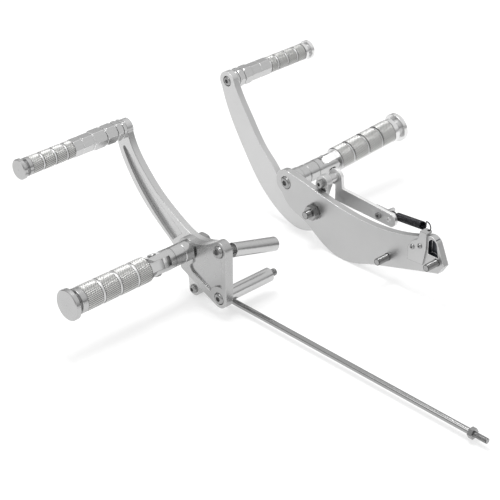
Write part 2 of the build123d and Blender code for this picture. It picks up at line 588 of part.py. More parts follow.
with BuildPart() as right_peg_spacer:
    round_x(COLLAR_R + EDGE, RX_OUT, RX_OUT + SIDE_STEP, RPEG_Y, RPEG_Z)
    chamfer(right_peg_spacer.edges().filter_by(GeomType.CIRCLE), SEAM)
    round_x(BIG_BOLT_R + BOLT_FIT, RX_OUT, RX_OUT + SIDE_STEP, RPEG_Y, RPEG_Z, Mode.SUBTRACT)
finish(right_peg_spacer, "right_peg_spacer")

# Shift rod with a ball end at the lever and a jam nut and stud at the rear
ROD_X = LEVER_IN + 0.5 + ROD_END_T / 2 + 1.0
ROD_Y, ROD_Z = ROD_BOLT
ROD_BALL_HALF = ROD_END_T / 2 + 1.0


def round_y(radius, y_from, y_to, mode=Mode.ADD):
    """Round bar along Y on the rod's axis."""
    with Locations(Location((ROD_X, y_to, ROD_Z), (90, 0, 0))):
        Cylinder(radius, y_to - y_from, align=(Align.CENTER, Align.CENTER, Align.MIN), mode=mode)


def turned_x(section, x, y, z):
    """Section drawn as (x, radius) on XY, turned about X and set at a point."""
    ring = revolve(section, axis=Axis.X, mode=Mode.PRIVATE)
    with Locations((x, y, z)):
        add(ring)


SOCKET_R = ROD_BALL_R + RUN_FIT
SOCKET_LIP = math.sqrt(SOCKET_R ** 2 - (ROD_END_T / 2) ** 2)
BALL_LIP = math.sqrt(ROD_BALL_R ** 2 - ROD_BALL_HALF ** 2)
with BuildPart() as rod_end:
    with BuildSketch(Plane.XY, mode=Mode.PRIVATE) as eye:
        with BuildLine():
            rim = Polyline((ROD_END_T / 2, SOCKET_LIP), (ROD_END_T / 2, ROD_END_R - 1),
                           (ROD_END_T / 2 - 1, ROD_END_R), (1 - ROD_END_T / 2, ROD_END_R),
                           (-ROD_END_T / 2, ROD_END_R - 1),
                           (-ROD_END_T / 2, SOCKET_LIP))
            ThreePointArc(rim @ 1, (0, SOCKET_R), rim @ 0)
        make_face()
    turned_x(eye.sketch, ROD_X, ROD_Y, ROD_Z)
    round_y(ROD_R + 1.2, ROD_Y - ROD_SHANK, ROD_Y - ROD_END_R + 1)
    round_y(ROD_STUD_R, ROD_Y - ROD_SHANK - JAM_T - 8, ROD_Y - ROD_SHANK)
finish(rod_end, "rod_end")

with BuildPart() as rod_ball:
    with BuildSketch(Plane.XY, mode=Mode.PRIVATE) as ball:
        with BuildLine():
            bore = Polyline((ROD_BALL_HALF, BALL_LIP), (ROD_BALL_HALF, ROD_BOLT_R + RUN_FIT),
                            (-ROD_BALL_HALF, ROD_BOLT_R + RUN_FIT), (-ROD_BALL_HALF, BALL_LIP))
            ThreePointArc(bore @ 1, (0, ROD_BALL_R), bore @ 0)
        make_face()
    turned_x(ball.sketch, ROD_X, ROD_Y, ROD_Z)
finish(rod_ball, "rod_ball")

ROD_FRONT = ROD_Y - ROD_SHANK - JAM_T
with BuildPart() as shift_rod:
    round_y(ROD_R, ROD_BACK, ROD_FRONT)
    round_y(ROD_STUD_R + BOLT_FIT, ROD_FRONT - 12, ROD_FRONT, Mode.SUBTRACT)
    round_y(ROD_STUD_ROOT_R, ROD_BACK - JAM_T, ROD_BACK)
    round_y(ROD_STUD_R, ROD_BACK - JAM_T - ROD_STUD_LEN, ROD_BACK - JAM_T)
finish(shift_rod, "shift_rod")

for name, y_from in (("front_jam_nut", ROD_FRONT), ("rear_jam_nut", ROD_BACK - JAM_T)):
    with BuildPart() as jam_nut:
        with BuildSketch(Plane.XZ.offset(-y_from)) as section:
            with Locations((ROD_X, ROD_Z)):
                RegularPolygon(JAM_R, 6)
                Circle(ROD_STUD_ROOT_R + BOLT_FIT, mode=Mode.SUBTRACT)
        extrude(amount=-JAM_T)
    finish(jam_nut, name)

ROD_NUT_T = 6.0
with BuildPart() as rod_bolt:
    round_x(ROD_BOLT_R, LEVER_OUT, ROD_X + ROD_BALL_HALF + ROD_NUT_T + 2, *ROD_BOLT)
    button_head(LEVER_OUT, -1, 6.2, 4.0, *ROD_BOLT)
finish(rod_bolt, "rod_bolt")

with BuildPart() as rod_bolt_nut:
    hex_head(JAM_R, ROD_X + ROD_BALL_HALF, ROD_X + ROD_BALL_HALF + ROD_NUT_T, *ROD_BOLT)
    round_x(ROD_BOLT_R + BOLT_FIT, ROD_X, ROD_X + 2 * ROD_END_T, *ROD_BOLT, Mode.SUBTRACT)
finish(rod_bolt_nut, "rod_bolt_nut")

# Right main plate: carries the peg in front, the pedal pivot and the two frame bolts
PLATE_BOSS_R = 18.5
WINDOW_D = 7.5
PIVOT = (RPEG_Y + PIVOT_DY, RPEG_Z + PIVOT_DZ)
LINK = (RPEG_Y + LINK_DY, RPEG_Z + LINK_DZ)
with BuildPart() as right_main_plate:
    with BuildSketch(Plane.YZ.offset(RX_IN)) as web:
        with BuildLine():
            top = Spline(*shift(RPEG_Y, RPEG_Z, [(3, 18.2), (-30, 14), (-64, 7.4), (-110, 0.2),
                                                 (-160, -1.4), (-215, 7), (-254, 21)]))
            lobe = ThreePointArc(top @ 1, (RPEG_Y - 264, RPEG_Z + 21.4), (RPEG_Y - 272, RPEG_Z + 14))
            Polyline(lobe @ 1, *shift(RPEG_Y, RPEG_Z, [(-283.5, -12.5), (-275, -25.6), (-241, -35.4),
                                                       (-165, -58.5)]))
            low = Spline(*shift(RPEG_Y, RPEG_Z, [(-165, -58.5), (-138, -68.6), (-113, -74), (-90, -72),
                                                 (-60, -58), (-36, -44.6), (-12, -36), (7.8, -16.5)]),
                         tangents=[(26, -8), (12, 20)])
            Polyline(low @ 1, (RPEG_Y, RPEG_Z), top @ 0)
        make_face()
        with Locations((RPEG_Y, RPEG_Z)):
            Circle(PLATE_BOSS_R)
    extrude(amount=PLATE_T)
    with BuildSketch(Plane.YZ.offset(RX_IN)) as window:
        with BuildLine():
            sill = Polyline(*shift(RPEG_Y, RPEG_Z, [(-256.4, 10), (-256.4, -4), (-274, -4), (-270.6, 11)]))
            ThreePointArc(sill @ 1, (RPEG_Y - 263, RPEG_Z + 18.6), sill @ 0)
        make_face()
        fillet(window.vertices().group_by(Axis.Y)[0], radius=1.2)
    extrude(amount=WINDOW_D, mode=Mode.SUBTRACT)
    for y, z in FRAME_BOLTS:
        round_x(MID_BOLT_R + CLEAR_FIT, RX_IN - 1, RX_OUT + 1, RPEG_Y + y, RPEG_Z + z, Mode.SUBTRACT)
    round_x(BIG_BOLT_R + BOLT_FIT, RX_IN - 1, RX_OUT + 1, RPEG_Y, RPEG_Z, Mode.SUBTRACT)
    round_x(RPEG_HEAD_R + CLEAR_FIT, RX_IN - 1, RX_IN + RPEG_SINK, RPEG_Y, RPEG_Z, Mode.SUBTRACT)
    round_x(BIG_BOLT_R + BOLT_FIT, RX_IN - 1, RX_OUT + 1, *PIVOT, Mode.SUBTRACT)
    for y, z in TAB_SCREWS:
        round_x(SCREW_R + BOLT_FIT, RX_IN - 1, RX_IN + 7, RPEG_Y + y, RPEG_Z + z, Mode.SUBTRACT)
finish(right_main_plate, "right_main_plate")

for number, (y, z) in enumerate(FRAME_BOLTS):
    with BuildPart() as frame_bolt:
        round_x(MID_BOLT_R, RX_IN, RX_OUT, RPEG_Y + y, RPEG_Z + z)
        round_x(MID_THREAD_R, RX_IN - FRAME_BOLT_REACH, RX_IN, RPEG_Y + y, RPEG_Z + z)
        chamfer(frame_bolt.edges().group_by(Axis.X)[0], EDGE)
        button_head(RX_OUT, 1, HEAD_R, HEAD_H, RPEG_Y + y, RPEG_Z + z)
    finish(frame_bolt, ("right_front_frame_bolt", "right_rear_frame_bolt")[number])

# Brake pedal: an arm forward to the toe peg and an ear above the pivot that pulls the link
PEDAL_HUB_R = 17.0
PEDAL_TOE_R = 13.8
EAR_R = 10.5
with BuildPart() as brake_pedal:
    with BuildSketch(Plane.YZ.offset(PEDAL_IN)) as web:
        with BuildLine():
            front = Spline(*shift(RPEG_Y, RPEG_Z, [(141.1, 106.9), (136.8, 92), (122.4, 58), (93, 11),
                                                   (60.8, -30), (21, -59.5), (-13, -69.3), (-44, -60),
                                                   (-71.5, -28)]))
            Line(front @ 1, PIVOT)
            Line(PIVOT, (LINK[0] - EAR_R, LINK[1]))
            Line((LINK[0] - EAR_R, LINK[1]), (LINK[0] + EAR_R, LINK[1]))
            back = Spline(*shift(RPEG_Y, RPEG_Z, [(-46.5, 17), (-38, -6), (-10, -26), (14, -19), (32, 2),
                                                  (57.5, 26), (85.8, 62.9), (102.2, 86), (114.4, 108.2)]))
            Polyline(back @ 1, RIGHT_TOE, front @ 0)
        make_face()
        with Locations(PIVOT):
            Circle(PEDAL_HUB_R)
        with Locations(LINK):
            Circle(EAR_R)
        with Locations(RIGHT_TOE):
            Circle(PEDAL_TOE_R)
    extrude(amount=PLATE_T)
    round_x(LEVER_BUSH_R, PEDAL_IN - 1, PEDAL_OUT + 1, *PIVOT, Mode.SUBTRACT)
    round_x(SMALL_BOLT_R + BOLT_FIT, PEDAL_IN - 1, PEDAL_OUT + 1, *LINK, Mode.SUBTRACT)
    toe_seat(PEDAL_IN, -1, RIGHT_TOE)
finish(brake_pedal, "brake_pedal")

with BuildPart() as pedal_bush:
    round_x(LEVER_BUSH_R, PEDAL_IN, PEDAL_OUT, *PIVOT)
    round_x(BIG_BOLT_R + RUN_FIT, PEDAL_IN, PEDAL_OUT, *PIVOT, Mode.SUBTRACT)
finish(pedal_bush, "pedal_bush")

with BuildPart() as pedal_washer:
    round_x(PIVOT_WASHER_R, RX_OUT, PEDAL_IN, *PIVOT)
    round_x(BIG_BOLT_R + BOLT_FIT, RX_OUT, PEDAL_IN, *PIVOT, Mode.SUBTRACT)
finish(pedal_washer, "pedal_washer")

NUT_R = 11.0
PIVOT_NUT_T = 9.0        # both nuts
JAM_NUT_T = 3.8          # the one on the washer
PIVOT_END = 18.8
with BuildPart() as pedal_pivot_bolt:
    round_x(BIG_BOLT_R, RX_IN - WASHER_T - PIVOT_NUT_T, PEDAL_OUT + FLAT_GAP, *PIVOT)
    round_x(BIG_BOLT_R - 1.2, RX_IN - PIVOT_END, RX_IN - WASHER_T - PIVOT_NUT_T, *PIVOT)
    round_x(PIVOT_WASHER_R, PEDAL_OUT + FLAT_GAP, PEDAL_OUT + FLAT_GAP + WASHER_T, *PIVOT)
    hex_head(NUT_R, PEDAL_OUT + FLAT_GAP + WASHER_T, PEDAL_OUT + FLAT_GAP + WASHER_T + PEG_HEX_H, *PIVOT)
finish(pedal_pivot_bolt, "pedal_pivot_bolt")

with BuildPart() as pedal_pivot_nut:
    round_x(PIVOT_WASHER_R, RX_IN - WASHER_T, RX_IN, *PIVOT)
    hex_head(NUT_R, RX_IN - WASHER_T - PIVOT_NUT_T, RX_IN - WASHER_T - JAM_NUT_T, *PIVOT)
    hex_head(NUT_R, RX_IN - WASHER_T - JAM_NUT_T, RX_IN - WASHER_T, *PIVOT)
    round_x(BIG_BOLT_R + BOLT_FIT, RX_IN - PIVOT_END, RX_IN, *PIVOT, Mode.SUBTRACT)
finish(pedal_pivot_nut, "pedal_pivot_nut")

# Link bolt, its bush, and the brake link that it pulls
LINK_HEAD_R = 5.6
LINK_HEAD_H = 6.5
LINK_BUSH_R = 7.0
LINK_SLOT = 1.4          # height that the slot gives the bolt as the ear swings
with BuildPart() as link_bolt:
    round_x(SMALL_BOLT_R, PEDAL_IN, BAR_OUT + FLAT_GAP, *LINK)
    socket_head(PEDAL_IN, -1, LINK_HEAD_R, LINK_HEAD_H, *LINK)
    hex_x(LINK_BUSH_R, BAR_OUT + FLAT_GAP, BAR_OUT + FLAT_GAP + 4, *LINK)
finish(link_bolt, "link_bolt")

with BuildPart() as link_bush:
    round_x(LINK_BUSH_R, PEDAL_OUT, BAR_IN - FLAT_GAP, *LINK)
    round_x(SMALL_BOLT_R + BOLT_FIT, PEDAL_OUT, BAR_IN, *LINK, Mode.SUBTRACT)
finish(link_bush, "link_bush")

LINK_EAR_R = 11.5
BAR_TOP = 4.0
BAR_LOW = -17.5
BAR_FRONT = -57.5
BAR_END = -158.0
BAR_END_R = 9.2
LINK_HOLE = (RPEG_Y - 155.0, RPEG_Z - 9.3)
LINK_HOLE_R = 3.4
LUG_SCREW = (RPEG_Y - 138.0, RPEG_Z - 9.3)
with BuildPart() as brake_link:
    with BuildSketch(Plane.YZ.offset(BAR_IN)) as web:
        with BuildLine():
            Polyline(*shift(RPEG_Y, RPEG_Z, [(LINK_DY, LINK_DZ), (LINK_DY - LINK_EAR_R, LINK_DZ),
                                             (LINK_DY - LINK_EAR_R - 1.5, BAR_TOP),
                                             (BAR_END, -9.3 + BAR_END_R),
                                             (BAR_END, -9.3 - BAR_END_R), (BAR_FRONT, BAR_LOW),
                                             (BAR_FRONT, LINK_DZ - LINK_EAR_R + 1)]), close=True)
        make_face()
        with Locations((RPEG_Y + BAR_END, LINK_HOLE[1])):
            Circle(BAR_END_R)
        with Locations(LINK):
            Circle(LINK_EAR_R)
        with Locations(LINK):
            SlotOverall(2 * (SMALL_BOLT_R + CLEAR_FIT / 2) + LINK_SLOT, 2 * (SMALL_BOLT_R + CLEAR_FIT / 2),
                        rotation=90, mode=Mode.SUBTRACT)
        with Locations(LINK_HOLE):
            Circle(LINK_HOLE_R, mode=Mode.SUBTRACT)
        with Locations(LUG_SCREW):
            Circle(SCREW_R + 0.6 + BOLT_FIT, mode=Mode.SUBTRACT)
    extrude(amount=BAR_T)
finish(brake_link, "brake_link")

# Spring lug: an angle on the outboard face of the link
LUG_T = 2.0
LUG_Y = RPEG_Y + LUG_HOOK[1] + LUG_T / 2
LUG_TOP = RPEG_Z + 0.8
LUG_LOW = RPEG_Z - 16.0
LUG_REACH = RX_IN + LUG_HOOK[0] + 4.6
with BuildPart() as spring_lug:
    with BuildSketch(Plane.YZ.offset(BAR_OUT)) as leg:
        with Locations((LUG_Y, LUG_LOW)):
            Rectangle(20, LUG_TOP - LUG_LOW, align=(Align.MIN, Align.MIN))
    extrude(amount=LUG_T)
    with BuildSketch(Plane.XZ.offset(-LUG_Y)) as foot:
        with BuildLine():
            Polyline((BAR_OUT, LUG_LOW), (BAR_OUT, LUG_TOP), (LUG_REACH, LUG_TOP - 1.5),
                     (LUG_REACH, LUG_LOW + 4), close=True)
        make_face()
        fillet(foot.vertices().sort_by(Axis.X)[-2:], radius=3)
        with Locations((RX_IN + LUG_HOOK[0], RPEG_Z + LUG_HOOK[2])):
            Circle(1.8, mode=Mode.SUBTRACT)
    extrude(amount=LUG_T)
    round_x(SCREW_R + 0.6 + BOLT_FIT, BAR_IN, BAR_OUT + 2 * LUG_T, *LUG_SCREW, Mode.SUBTRACT)
finish(spring_lug, "spring_lug")

with BuildPart() as spring_lug_screw:
    round_x(SCREW_R + 0.6, BAR_IN, BAR_OUT + LUG_T + 3, *LUG_SCREW)
    socket_head(BAR_IN, -1, 4.4, 3.2, *LUG_SCREW)
finish(spring_lug_screw, "spring_lug_screw")

# Spring tab: a thin plate screwed to the main plate, folded outboard over its top edge
HOOK = (RX_IN + TAB_HOOK[0], RPEG_Y + TAB_HOOK[1], RPEG_Z + TAB_HOOK[2])
TAB_REACH = RX_IN + TAB_HOOK[0] + 3.2
with BuildPart() as spring_tab:
    with BuildSketch(Plane.YZ.offset(RX_IN - TAB_T)) as leaf:
        with BuildLine():
            Polyline(*shift(RPEG_Y, RPEG_Z, [(-224, -24), (-224, -5), (-230, 5), (-240, 12),
                                             (-243, TAB_HOOK[2]), (-254.4, TAB_HOOK[2]), (-254.4, 2),
                                             (-250, -22)]), close=True)
        make_face()
        for y, z in TAB_SCREWS:
            with Locations((RPEG_Y + y, RPEG_Z + z)):
                Circle(SCREW_R + BOLT_FIT, mode=Mode.SUBTRACT)
    extrude(amount=TAB_T)
    with BuildSketch(Plane.XY.offset(HOOK[2])) as fold:
        with Locations((RX_IN - TAB_T, RPEG_Y - 243)):
            Rectangle(TAB_REACH - RX_IN + TAB_T, 11.4, align=(Align.MIN, Align.MAX))
        fillet(fold.vertices().sort_by(Axis.X)[-2:], radius=2.5)
        with Locations((HOOK[0], HOOK[1])):
            Circle(1.8, mode=Mode.SUBTRACT)
    extrude(amount=TAB_T)
finish(spring_tab, "spring_tab")

with BuildPart() as spring_tab_screws:
    for y, z in TAB_SCREWS:
        round_x(SCREW_R, RX_IN - TAB_T, RX_IN + 6, RPEG_Y + y, RPEG_Z + z)
        button_head(RX_IN - TAB_T, -1, 3.6, 2.0, RPEG_Y + y, RPEG_Z + z)
finish(spring_tab_screws, "spring_tab_screws")

# Return spring: close-wound body with a wire hook at each end
SPRING_FRONT = Vector(RX_IN + 50.5, RPEG_Y - 160.0, RPEG_Z - 8.0)
SPRING_REAR = Vector(RX_IN + 21.0, RPEG_Y - 228.0, RPEG_Z + 17.6)
spring_dir = (SPRING_REAR - SPRING_FRONT).normalized()
LUG_EYE = Vector(RX_IN + LUG_HOOK[0], LUG_Y - LUG_T / 2, RPEG_Z + LUG_HOOK[2])
TAB_EYE = Vector(HOOK[0], HOOK[1], HOOK[2] + TAB_T / 2)


def wire(start, end):
    """Straight run of spring wire between two points."""
    run = end - start
    with Locations(Plane(origin=start, z_dir=run.normalized()).location):
        Cylinder(WIRE_R, run.length, align=(Align.CENTER, Align.CENTER, Align.MIN))
    with Locations(end):
        Sphere(WIRE_R)


with BuildPart() as return_spring:
    with Locations(Plane(origin=SPRING_FRONT, z_dir=spring_dir).location):
        Cylinder(SPRING_R, (SPRING_REAR - SPRING_FRONT).length,
                 align=(Align.CENTER, Align.CENTER, Align.MIN))
    wire(SPRING_FRONT, LUG_EYE + Vector(0, -3, 0))
    wire(LUG_EYE + Vector(0, -3, 0), LUG_EYE + Vector(0, 2.6, 0))
    wire(SPRING_REAR, TAB_EYE + Vector(0, 2, 5))
    wire(TAB_EYE + Vector(0, 2, 5), TAB_EYE + Vector(0, 0, 3.5))
    wire(TAB_EYE + Vector(0, 0, 3.5), TAB_EYE + Vector(0, 0, -2.4))
finish(return_spring, "return_spring")
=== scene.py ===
import math

import bpy
import numpy as np
from mathutils import Matrix, Vector


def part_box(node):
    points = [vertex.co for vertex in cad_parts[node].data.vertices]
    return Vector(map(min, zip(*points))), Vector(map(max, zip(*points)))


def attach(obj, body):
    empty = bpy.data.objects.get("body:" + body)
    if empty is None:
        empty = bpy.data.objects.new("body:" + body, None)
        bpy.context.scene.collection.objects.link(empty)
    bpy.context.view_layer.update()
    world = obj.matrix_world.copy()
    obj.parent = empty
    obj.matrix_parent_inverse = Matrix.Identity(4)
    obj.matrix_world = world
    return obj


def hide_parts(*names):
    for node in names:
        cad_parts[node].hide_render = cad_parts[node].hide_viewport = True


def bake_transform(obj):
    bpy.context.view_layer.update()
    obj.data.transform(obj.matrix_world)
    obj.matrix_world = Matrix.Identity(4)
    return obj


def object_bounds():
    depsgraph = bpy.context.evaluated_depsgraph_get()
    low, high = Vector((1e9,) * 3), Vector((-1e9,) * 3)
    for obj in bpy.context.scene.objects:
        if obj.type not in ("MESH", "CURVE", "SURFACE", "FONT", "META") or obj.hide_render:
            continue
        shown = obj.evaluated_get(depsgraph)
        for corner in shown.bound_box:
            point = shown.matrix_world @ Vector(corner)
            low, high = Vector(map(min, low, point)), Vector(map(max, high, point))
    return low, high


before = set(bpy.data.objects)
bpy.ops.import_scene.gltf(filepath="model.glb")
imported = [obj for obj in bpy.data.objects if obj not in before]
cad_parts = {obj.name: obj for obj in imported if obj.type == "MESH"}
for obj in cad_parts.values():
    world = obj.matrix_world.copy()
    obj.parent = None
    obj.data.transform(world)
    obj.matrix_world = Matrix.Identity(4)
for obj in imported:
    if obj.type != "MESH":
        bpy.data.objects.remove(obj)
CAD_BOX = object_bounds()

bl_info = {
    "name": "Motorcycle forward controls",
    "version": (1, 0, 0),
    "blender": (4, 5, 0),
    "location": "View3D > Sidebar > Forward controls",
    "description": "Finishes, knurling, threads and the return spring of a set of forward controls",
    "category": "Add Mesh",
}

MM = 0.001

# The camera, as the photograph was taken: the image is 500 pixels square
IMAGE_SIDE = 500
FOCAL_PIXELS = 1850.0
SENSOR_MM = 36.0
CAMERA_AT = (-1.4349, -1.4659, 1.2155)
CAMERA_AZIMUTH = 43.7        # degrees from ahead towards the right
CAMERA_ELEVATION = 29.9

# Foot pegs, measured outwards from the hinge pin; toe pegs, from the end of their extension
HINGE_TO_CAP_END = 140.4 * MM
PEG_R = 16.3 * MM
PEG_SPAN = (16.4 * MM, 119.4 * MM)
PEG_GROOVES = (38.6 * MM, 66.3 * MM, 93.3 * MM)
TOE_TO_CAP_END = 83.3 * MM
TOE_R = 11.3 * MM
TOE_SPAN = (0.6 * MM, 67.5 * MM)
TOE_GROOVES = (13.5 * MM, 31.6 * MM, 50.4 * MM)
GROOVE_HALF = 1.5 * MM        # half the width of a groove between two bands
TOE_GROOVE_HALF = 1.2 * MM

# Free threads
FRAME_THREAD_R = 4.5 * MM
ROD_THREAD_R = 3.2 * MM
PIVOT_THREAD_R = 5.15 * MM
ROD_THREAD_PITCH = 1.25 * MM
ROD_THREAD_DEPTH = 0.35 * MM

# Return spring: places in mm from the main plate's inner face and the peg's axis
COIL_R = 4.8 * MM
COIL_FRONT = (50.5, -160.0, -8.0)
COIL_REAR = (21.0, -228.0, 17.6)
LUG_EYE = (52.0, -148.0, -6.0)
# The rear hook rises over the coil's end and drops through the tab
REAR_HOOK = ((18.6, -236.0, 27.4), (14.6, -244.6, 28.6), (11.0, -249.6, 26.2), (7.8, -250.6, 22.6),
             (6.6, -249.6, 19.6))
# The front hook's end round the lug's eye: mm along the coil's axis and across it
FRONT_HOOK = ((-2.0, 1.5), (-2.4, -1.6), (1.2, -2.6))
FRONT_LEAD = 0.35            # share of the way to the eye that the wire runs on along the coil
FRONT_BEND = 0.7             # share of that way where it swings aside
FRONT_SWING = 2 * MM
HOOK_REFERENCE = (0.31, 0.17, 0.93)   # a direction that no part of a hook runs along
POINTS_PER_TURN = 20
HOOK_POINTS = 61

# Painted shade in pockets, in mm: two steps along X from sides of the solid, then two corners and
# slanted planes (a point and its inward direction), in Y and Z from the peg's axis
BRACKET_POCKET = ((-0.1, 2.4), ((-65.5, -44.5), (-3.0, 22.6)),
                  (((-43.0, 23.5), (0.0, -0.316, -0.949)), ((-45.0, -48.5), (0.0, -0.402, 0.915))))
PLATE_WINDOW = ((0.2, -1.0), ((-276.0, -5.5), (-255.0, 19.6)),
                (((-270.6, 14.0), (0.0, 0.917, -0.398)),))
# Width of the painted shade along the rim of the bracket's pocket
POCKET_RIM = 1.1 * MM

# Finishes: cells per metre of the noises
SANDING_CELLS = (700.0, 60.0, 2300.0)
HANDLING_CELLS = 38.0
LATHE_RINGS = 2600.0
LATHE_CLOUD_CELLS = 55.0
SPECK_CELLS = 1500.0
PLATING_CLOUD_CELLS = 130.0

# Studio: lamps as name, place, side in metres and power in watts
FLOOR_GAP = 0.3 * MM
FLOOR_HALF = 9.0
FLOOR_GLOW = 1.12            # emission of the floor's white share
FLOOR_GLOW_SHARE = 0.5
LAMPS = (("key_lamp", (0.0, 0.15, 1.5), 0.55, 12.0), ("fill_lamp", (-1.4, 0.5, 1.3), 0.7, 3.0))


def unit(vector):
    """Vector over its own length, for one vector or rows of them."""
    return vector / np.linalg.norm(vector, axis=-1, keepdims=True)


def middle(node):
    """Centre of a solid's box."""
    low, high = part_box(node)
    return (low + high) / 2


def axes_along(direction):
    """Three unit vectors: the direction, and two square to it."""
    along = unit(np.array(direction, float))
    helper = np.array((0.0, 0.0, 1.0)) if abs(along[2]) < 0.9 else np.array((1.0, 0.0, 0.0))
    side = unit(np.cross(helper, along))
    return along, side, np.cross(along, side)


def grid_faces(rows, columns, start, close_rows):
    """Quads of a grid whose columns close on themselves; rows close too where asked."""
    last = rows if close_rows else rows - 1
    row, column = np.meshgrid(np.arange(last), np.arange(columns), indexing="ij")
    next_row, next_column = (row + 1) % rows, (column + 1) % columns
    quads = np.stack((row * columns + column, row * columns + next_column,
                      next_row * columns + next_column, next_row * columns + column), axis=-1)
    return quads.reshape(-1, 4) + start


def piece_from(name, grids, material, body, smooth=True):
    """One mesh object from grids, each (points, rows close, relief from 0 to 1), riding on a
    body. The relief is stored as a point attribute for the material."""
    vertices, faces, relief, count = [], [], [], 0
    for points, close_rows, heights in grids:
        rows, columns = points.shape[:2]
        faces.append(grid_faces(rows, columns, count, close_rows))
        vertices.append(points.reshape(-1, 3))
        relief.append(np.broadcast_to(heights, (rows, columns)).reshape(-1))
        count += rows * columns
    mesh = bpy.data.meshes.new(name)
    mesh.from_pydata(np.concatenate(vertices), [], np.concatenate(faces))
    mesh.update()
    stored = mesh.attributes.new("relief", "FLOAT", "POINT")
    stored.data.foreach_set("value", np.concatenate(relief).astype(np.float32))
    if smooth:
        mesh.shade_smooth()
    mesh.materials.append(material)
    piece = bpy.data.objects.new(name, mesh)
    bpy.context.scene.collection.objects.link(piece)
    if body:
        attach(piece, body)
    return piece


def turned_grid(origin, direction, stations, radii):
    """Points at origin + along * station + radius * (side * cos t + up * sin t).
    radii is (stations, angles); t goes once round over the angles."""
    along, side, up = axes_along(direction)
    angle = np.linspace(0, 2 * math.pi, radii.shape[1], endpoint=False)
    ring = np.cos(angle)[:, None] * side + np.sin(angle)[:, None] * up
    return np.array(origin) + stations[:, None, None] * along + radii[:, :, None] * ring


def saw(phase):
    """Triangle wave: 0 where the phase is whole, 1 half way between."""
    return 1 - np.abs(2 * (phase % 1.0) - 1)


def knurled_sleeve(origin, direction, radius, span, cells, height):
    """Closed sleeve with diamond knurling between two stations.
    Its outside is radius + height * (0.12 + 0.88 * min(saw(c t + s / p), saw(c t - s / p))),
    where t is the turn, s the station, c the cells round it and p their length; it fades to
    the radius at both ends, and the inner wall lies just under the radius."""
    per_cell = 4              # points along a cell
    fade_share = 0.35         # of a cell's length
    flat_share = 0.12         # of the height, under the diamonds
    pitch = 2 * math.pi * radius / cells
    rows = max(3, round((span[1] - span[0]) / pitch)) * per_cell
    station = np.linspace(span[0], span[1], rows + 1)
    turn = np.arange(cells * per_cell) / per_cell
    step = (np.arange(rows + 1) / per_cell)[:, None]
    cut = np.minimum(saw(turn[None, :] + step), saw(turn[None, :] - step))
    fade = np.clip(np.minimum(station - span[0], span[1] - station) / (fade_share * pitch), 0, 1)
    outer = radius + height * (flat_share + (1 - flat_share) * cut) * fade[:, None]
    inner = np.full((2, outer.shape[1]), radius - height)
    stations = np.concatenate((station, [span[1], span[0]]))
    relief = np.concatenate((cut * fade[:, None], np.zeros(inner.shape)))
    return turned_grid(origin, direction, stations, np.concatenate((outer, inner))), True, relief


def threaded_sleeve(origin, direction, root, depth, pitch, length):
    """Closed sleeve with a screw thread: radius root + depth * saw(s / pitch - t), where t is
    the turn and s the station. It runs out to the root at its free end."""
    around = 32
    per_turn = 6
    rows = int(round(length / pitch)) * per_turn
    station = np.linspace(0, length, rows + 1)
    turn = np.arange(around) / around
    thread = saw(station[:, None] / pitch - turn[None, :])
    fade = np.clip((length - station) / pitch, 0, 1)
    outer = root + depth * thread * fade[:, None]
    inner = np.full((2, around), root - depth)
    stations = np.concatenate((station, [length, 0.0]))
    relief = np.concatenate((thread * fade[:, None], np.zeros(inner.shape)))
    return turned_grid(origin, direction, stations, np.concatenate((outer, inner))), True, relief


def wire_grid(path, radius, reference):
    """Round wire carried along a path: point + radius * (n cos t + b sin t), where n is the
    reference made square to the path and b = path direction x n. Its ends taper to a point."""
    around = 10
    tip_share = 0.02          # of the radius, at both ends
    run = unit(np.gradient(path, axis=0))
    square = unit(reference - (run @ reference)[:, None] * run)
    other = np.cross(run, square)
    angle = np.linspace(0, 2 * math.pi, around, endpoint=False)
    thick = np.full(len(path), radius)
    thick[[0, -1]] = radius * tip_share
    ring = (np.cos(angle)[None, :, None] * square[:, None, :]
            + np.sin(angle)[None, :, None] * other[:, None, :])
    return path[:, None, :] + thick[:, None, None] * ring, False, 1.0


# Shader node groups


def new_group(name, inputs, outputs):
    """Empty shader group with (name, socket type, default) inputs and (name, type) outputs."""
    group = bpy.data.node_groups.new(name, "ShaderNodeTree")
    for label, kind, default in inputs:
        socket = group.interface.new_socket(label, in_out="INPUT", socket_type=kind)
        if default is not None:
            socket.default_value = default
    for label, kind in outputs:
        group.interface.new_socket(label, in_out="OUTPUT", socket_type=kind)
    return group, group.nodes.new("NodeGroupInput"), group.nodes.new("NodeGroupOutput")


def add_node(tree, kind, settings=(), inputs=()):
    """Node with its settings and unlinked input values."""
    node = tree.nodes.new(kind)
    for key, value in dict(settings).items():
        setattr(node, key, value)
    for key, value in dict(inputs).items():
        node.inputs[key].default_value = value
    return node


def calculate(tree, operation, first, second=None, third=None):
    """Math node; each term is a socket or a number."""
    node = add_node(tree, "ShaderNodeMath", {"operation": operation})
    for index, term in enumerate((first, second, third)):
        if term is None:
            continue
        if isinstance(term, (int, float)):
            node.inputs[index].default_value = term
        else:
            tree.links.new(term, node.inputs[index])
    return node.outputs[0]


def noise_of(tree, vector, scale, detail=3.0, roughness=0.55):
    """Value of 3D noise at a vector socket."""
    node = add_node(tree, "ShaderNodeTexNoise", (),
                    {"Scale": scale, "Detail": detail, "Roughness": roughness})
    tree.links.new(vector, node.inputs["Vector"])
    return node.outputs["Fac"]


def noise_line(tree, value, detail=3.0):
    """Value of 1D noise at a number socket."""
    node = add_node(tree, "ShaderNodeTexNoise", {"noise_dimensions": "1D"},
                    {"Scale": 1.0, "Detail": detail, "Roughness": 0.7})
    tree.links.new(value, node.inputs["W"])
    return node.outputs["Fac"]


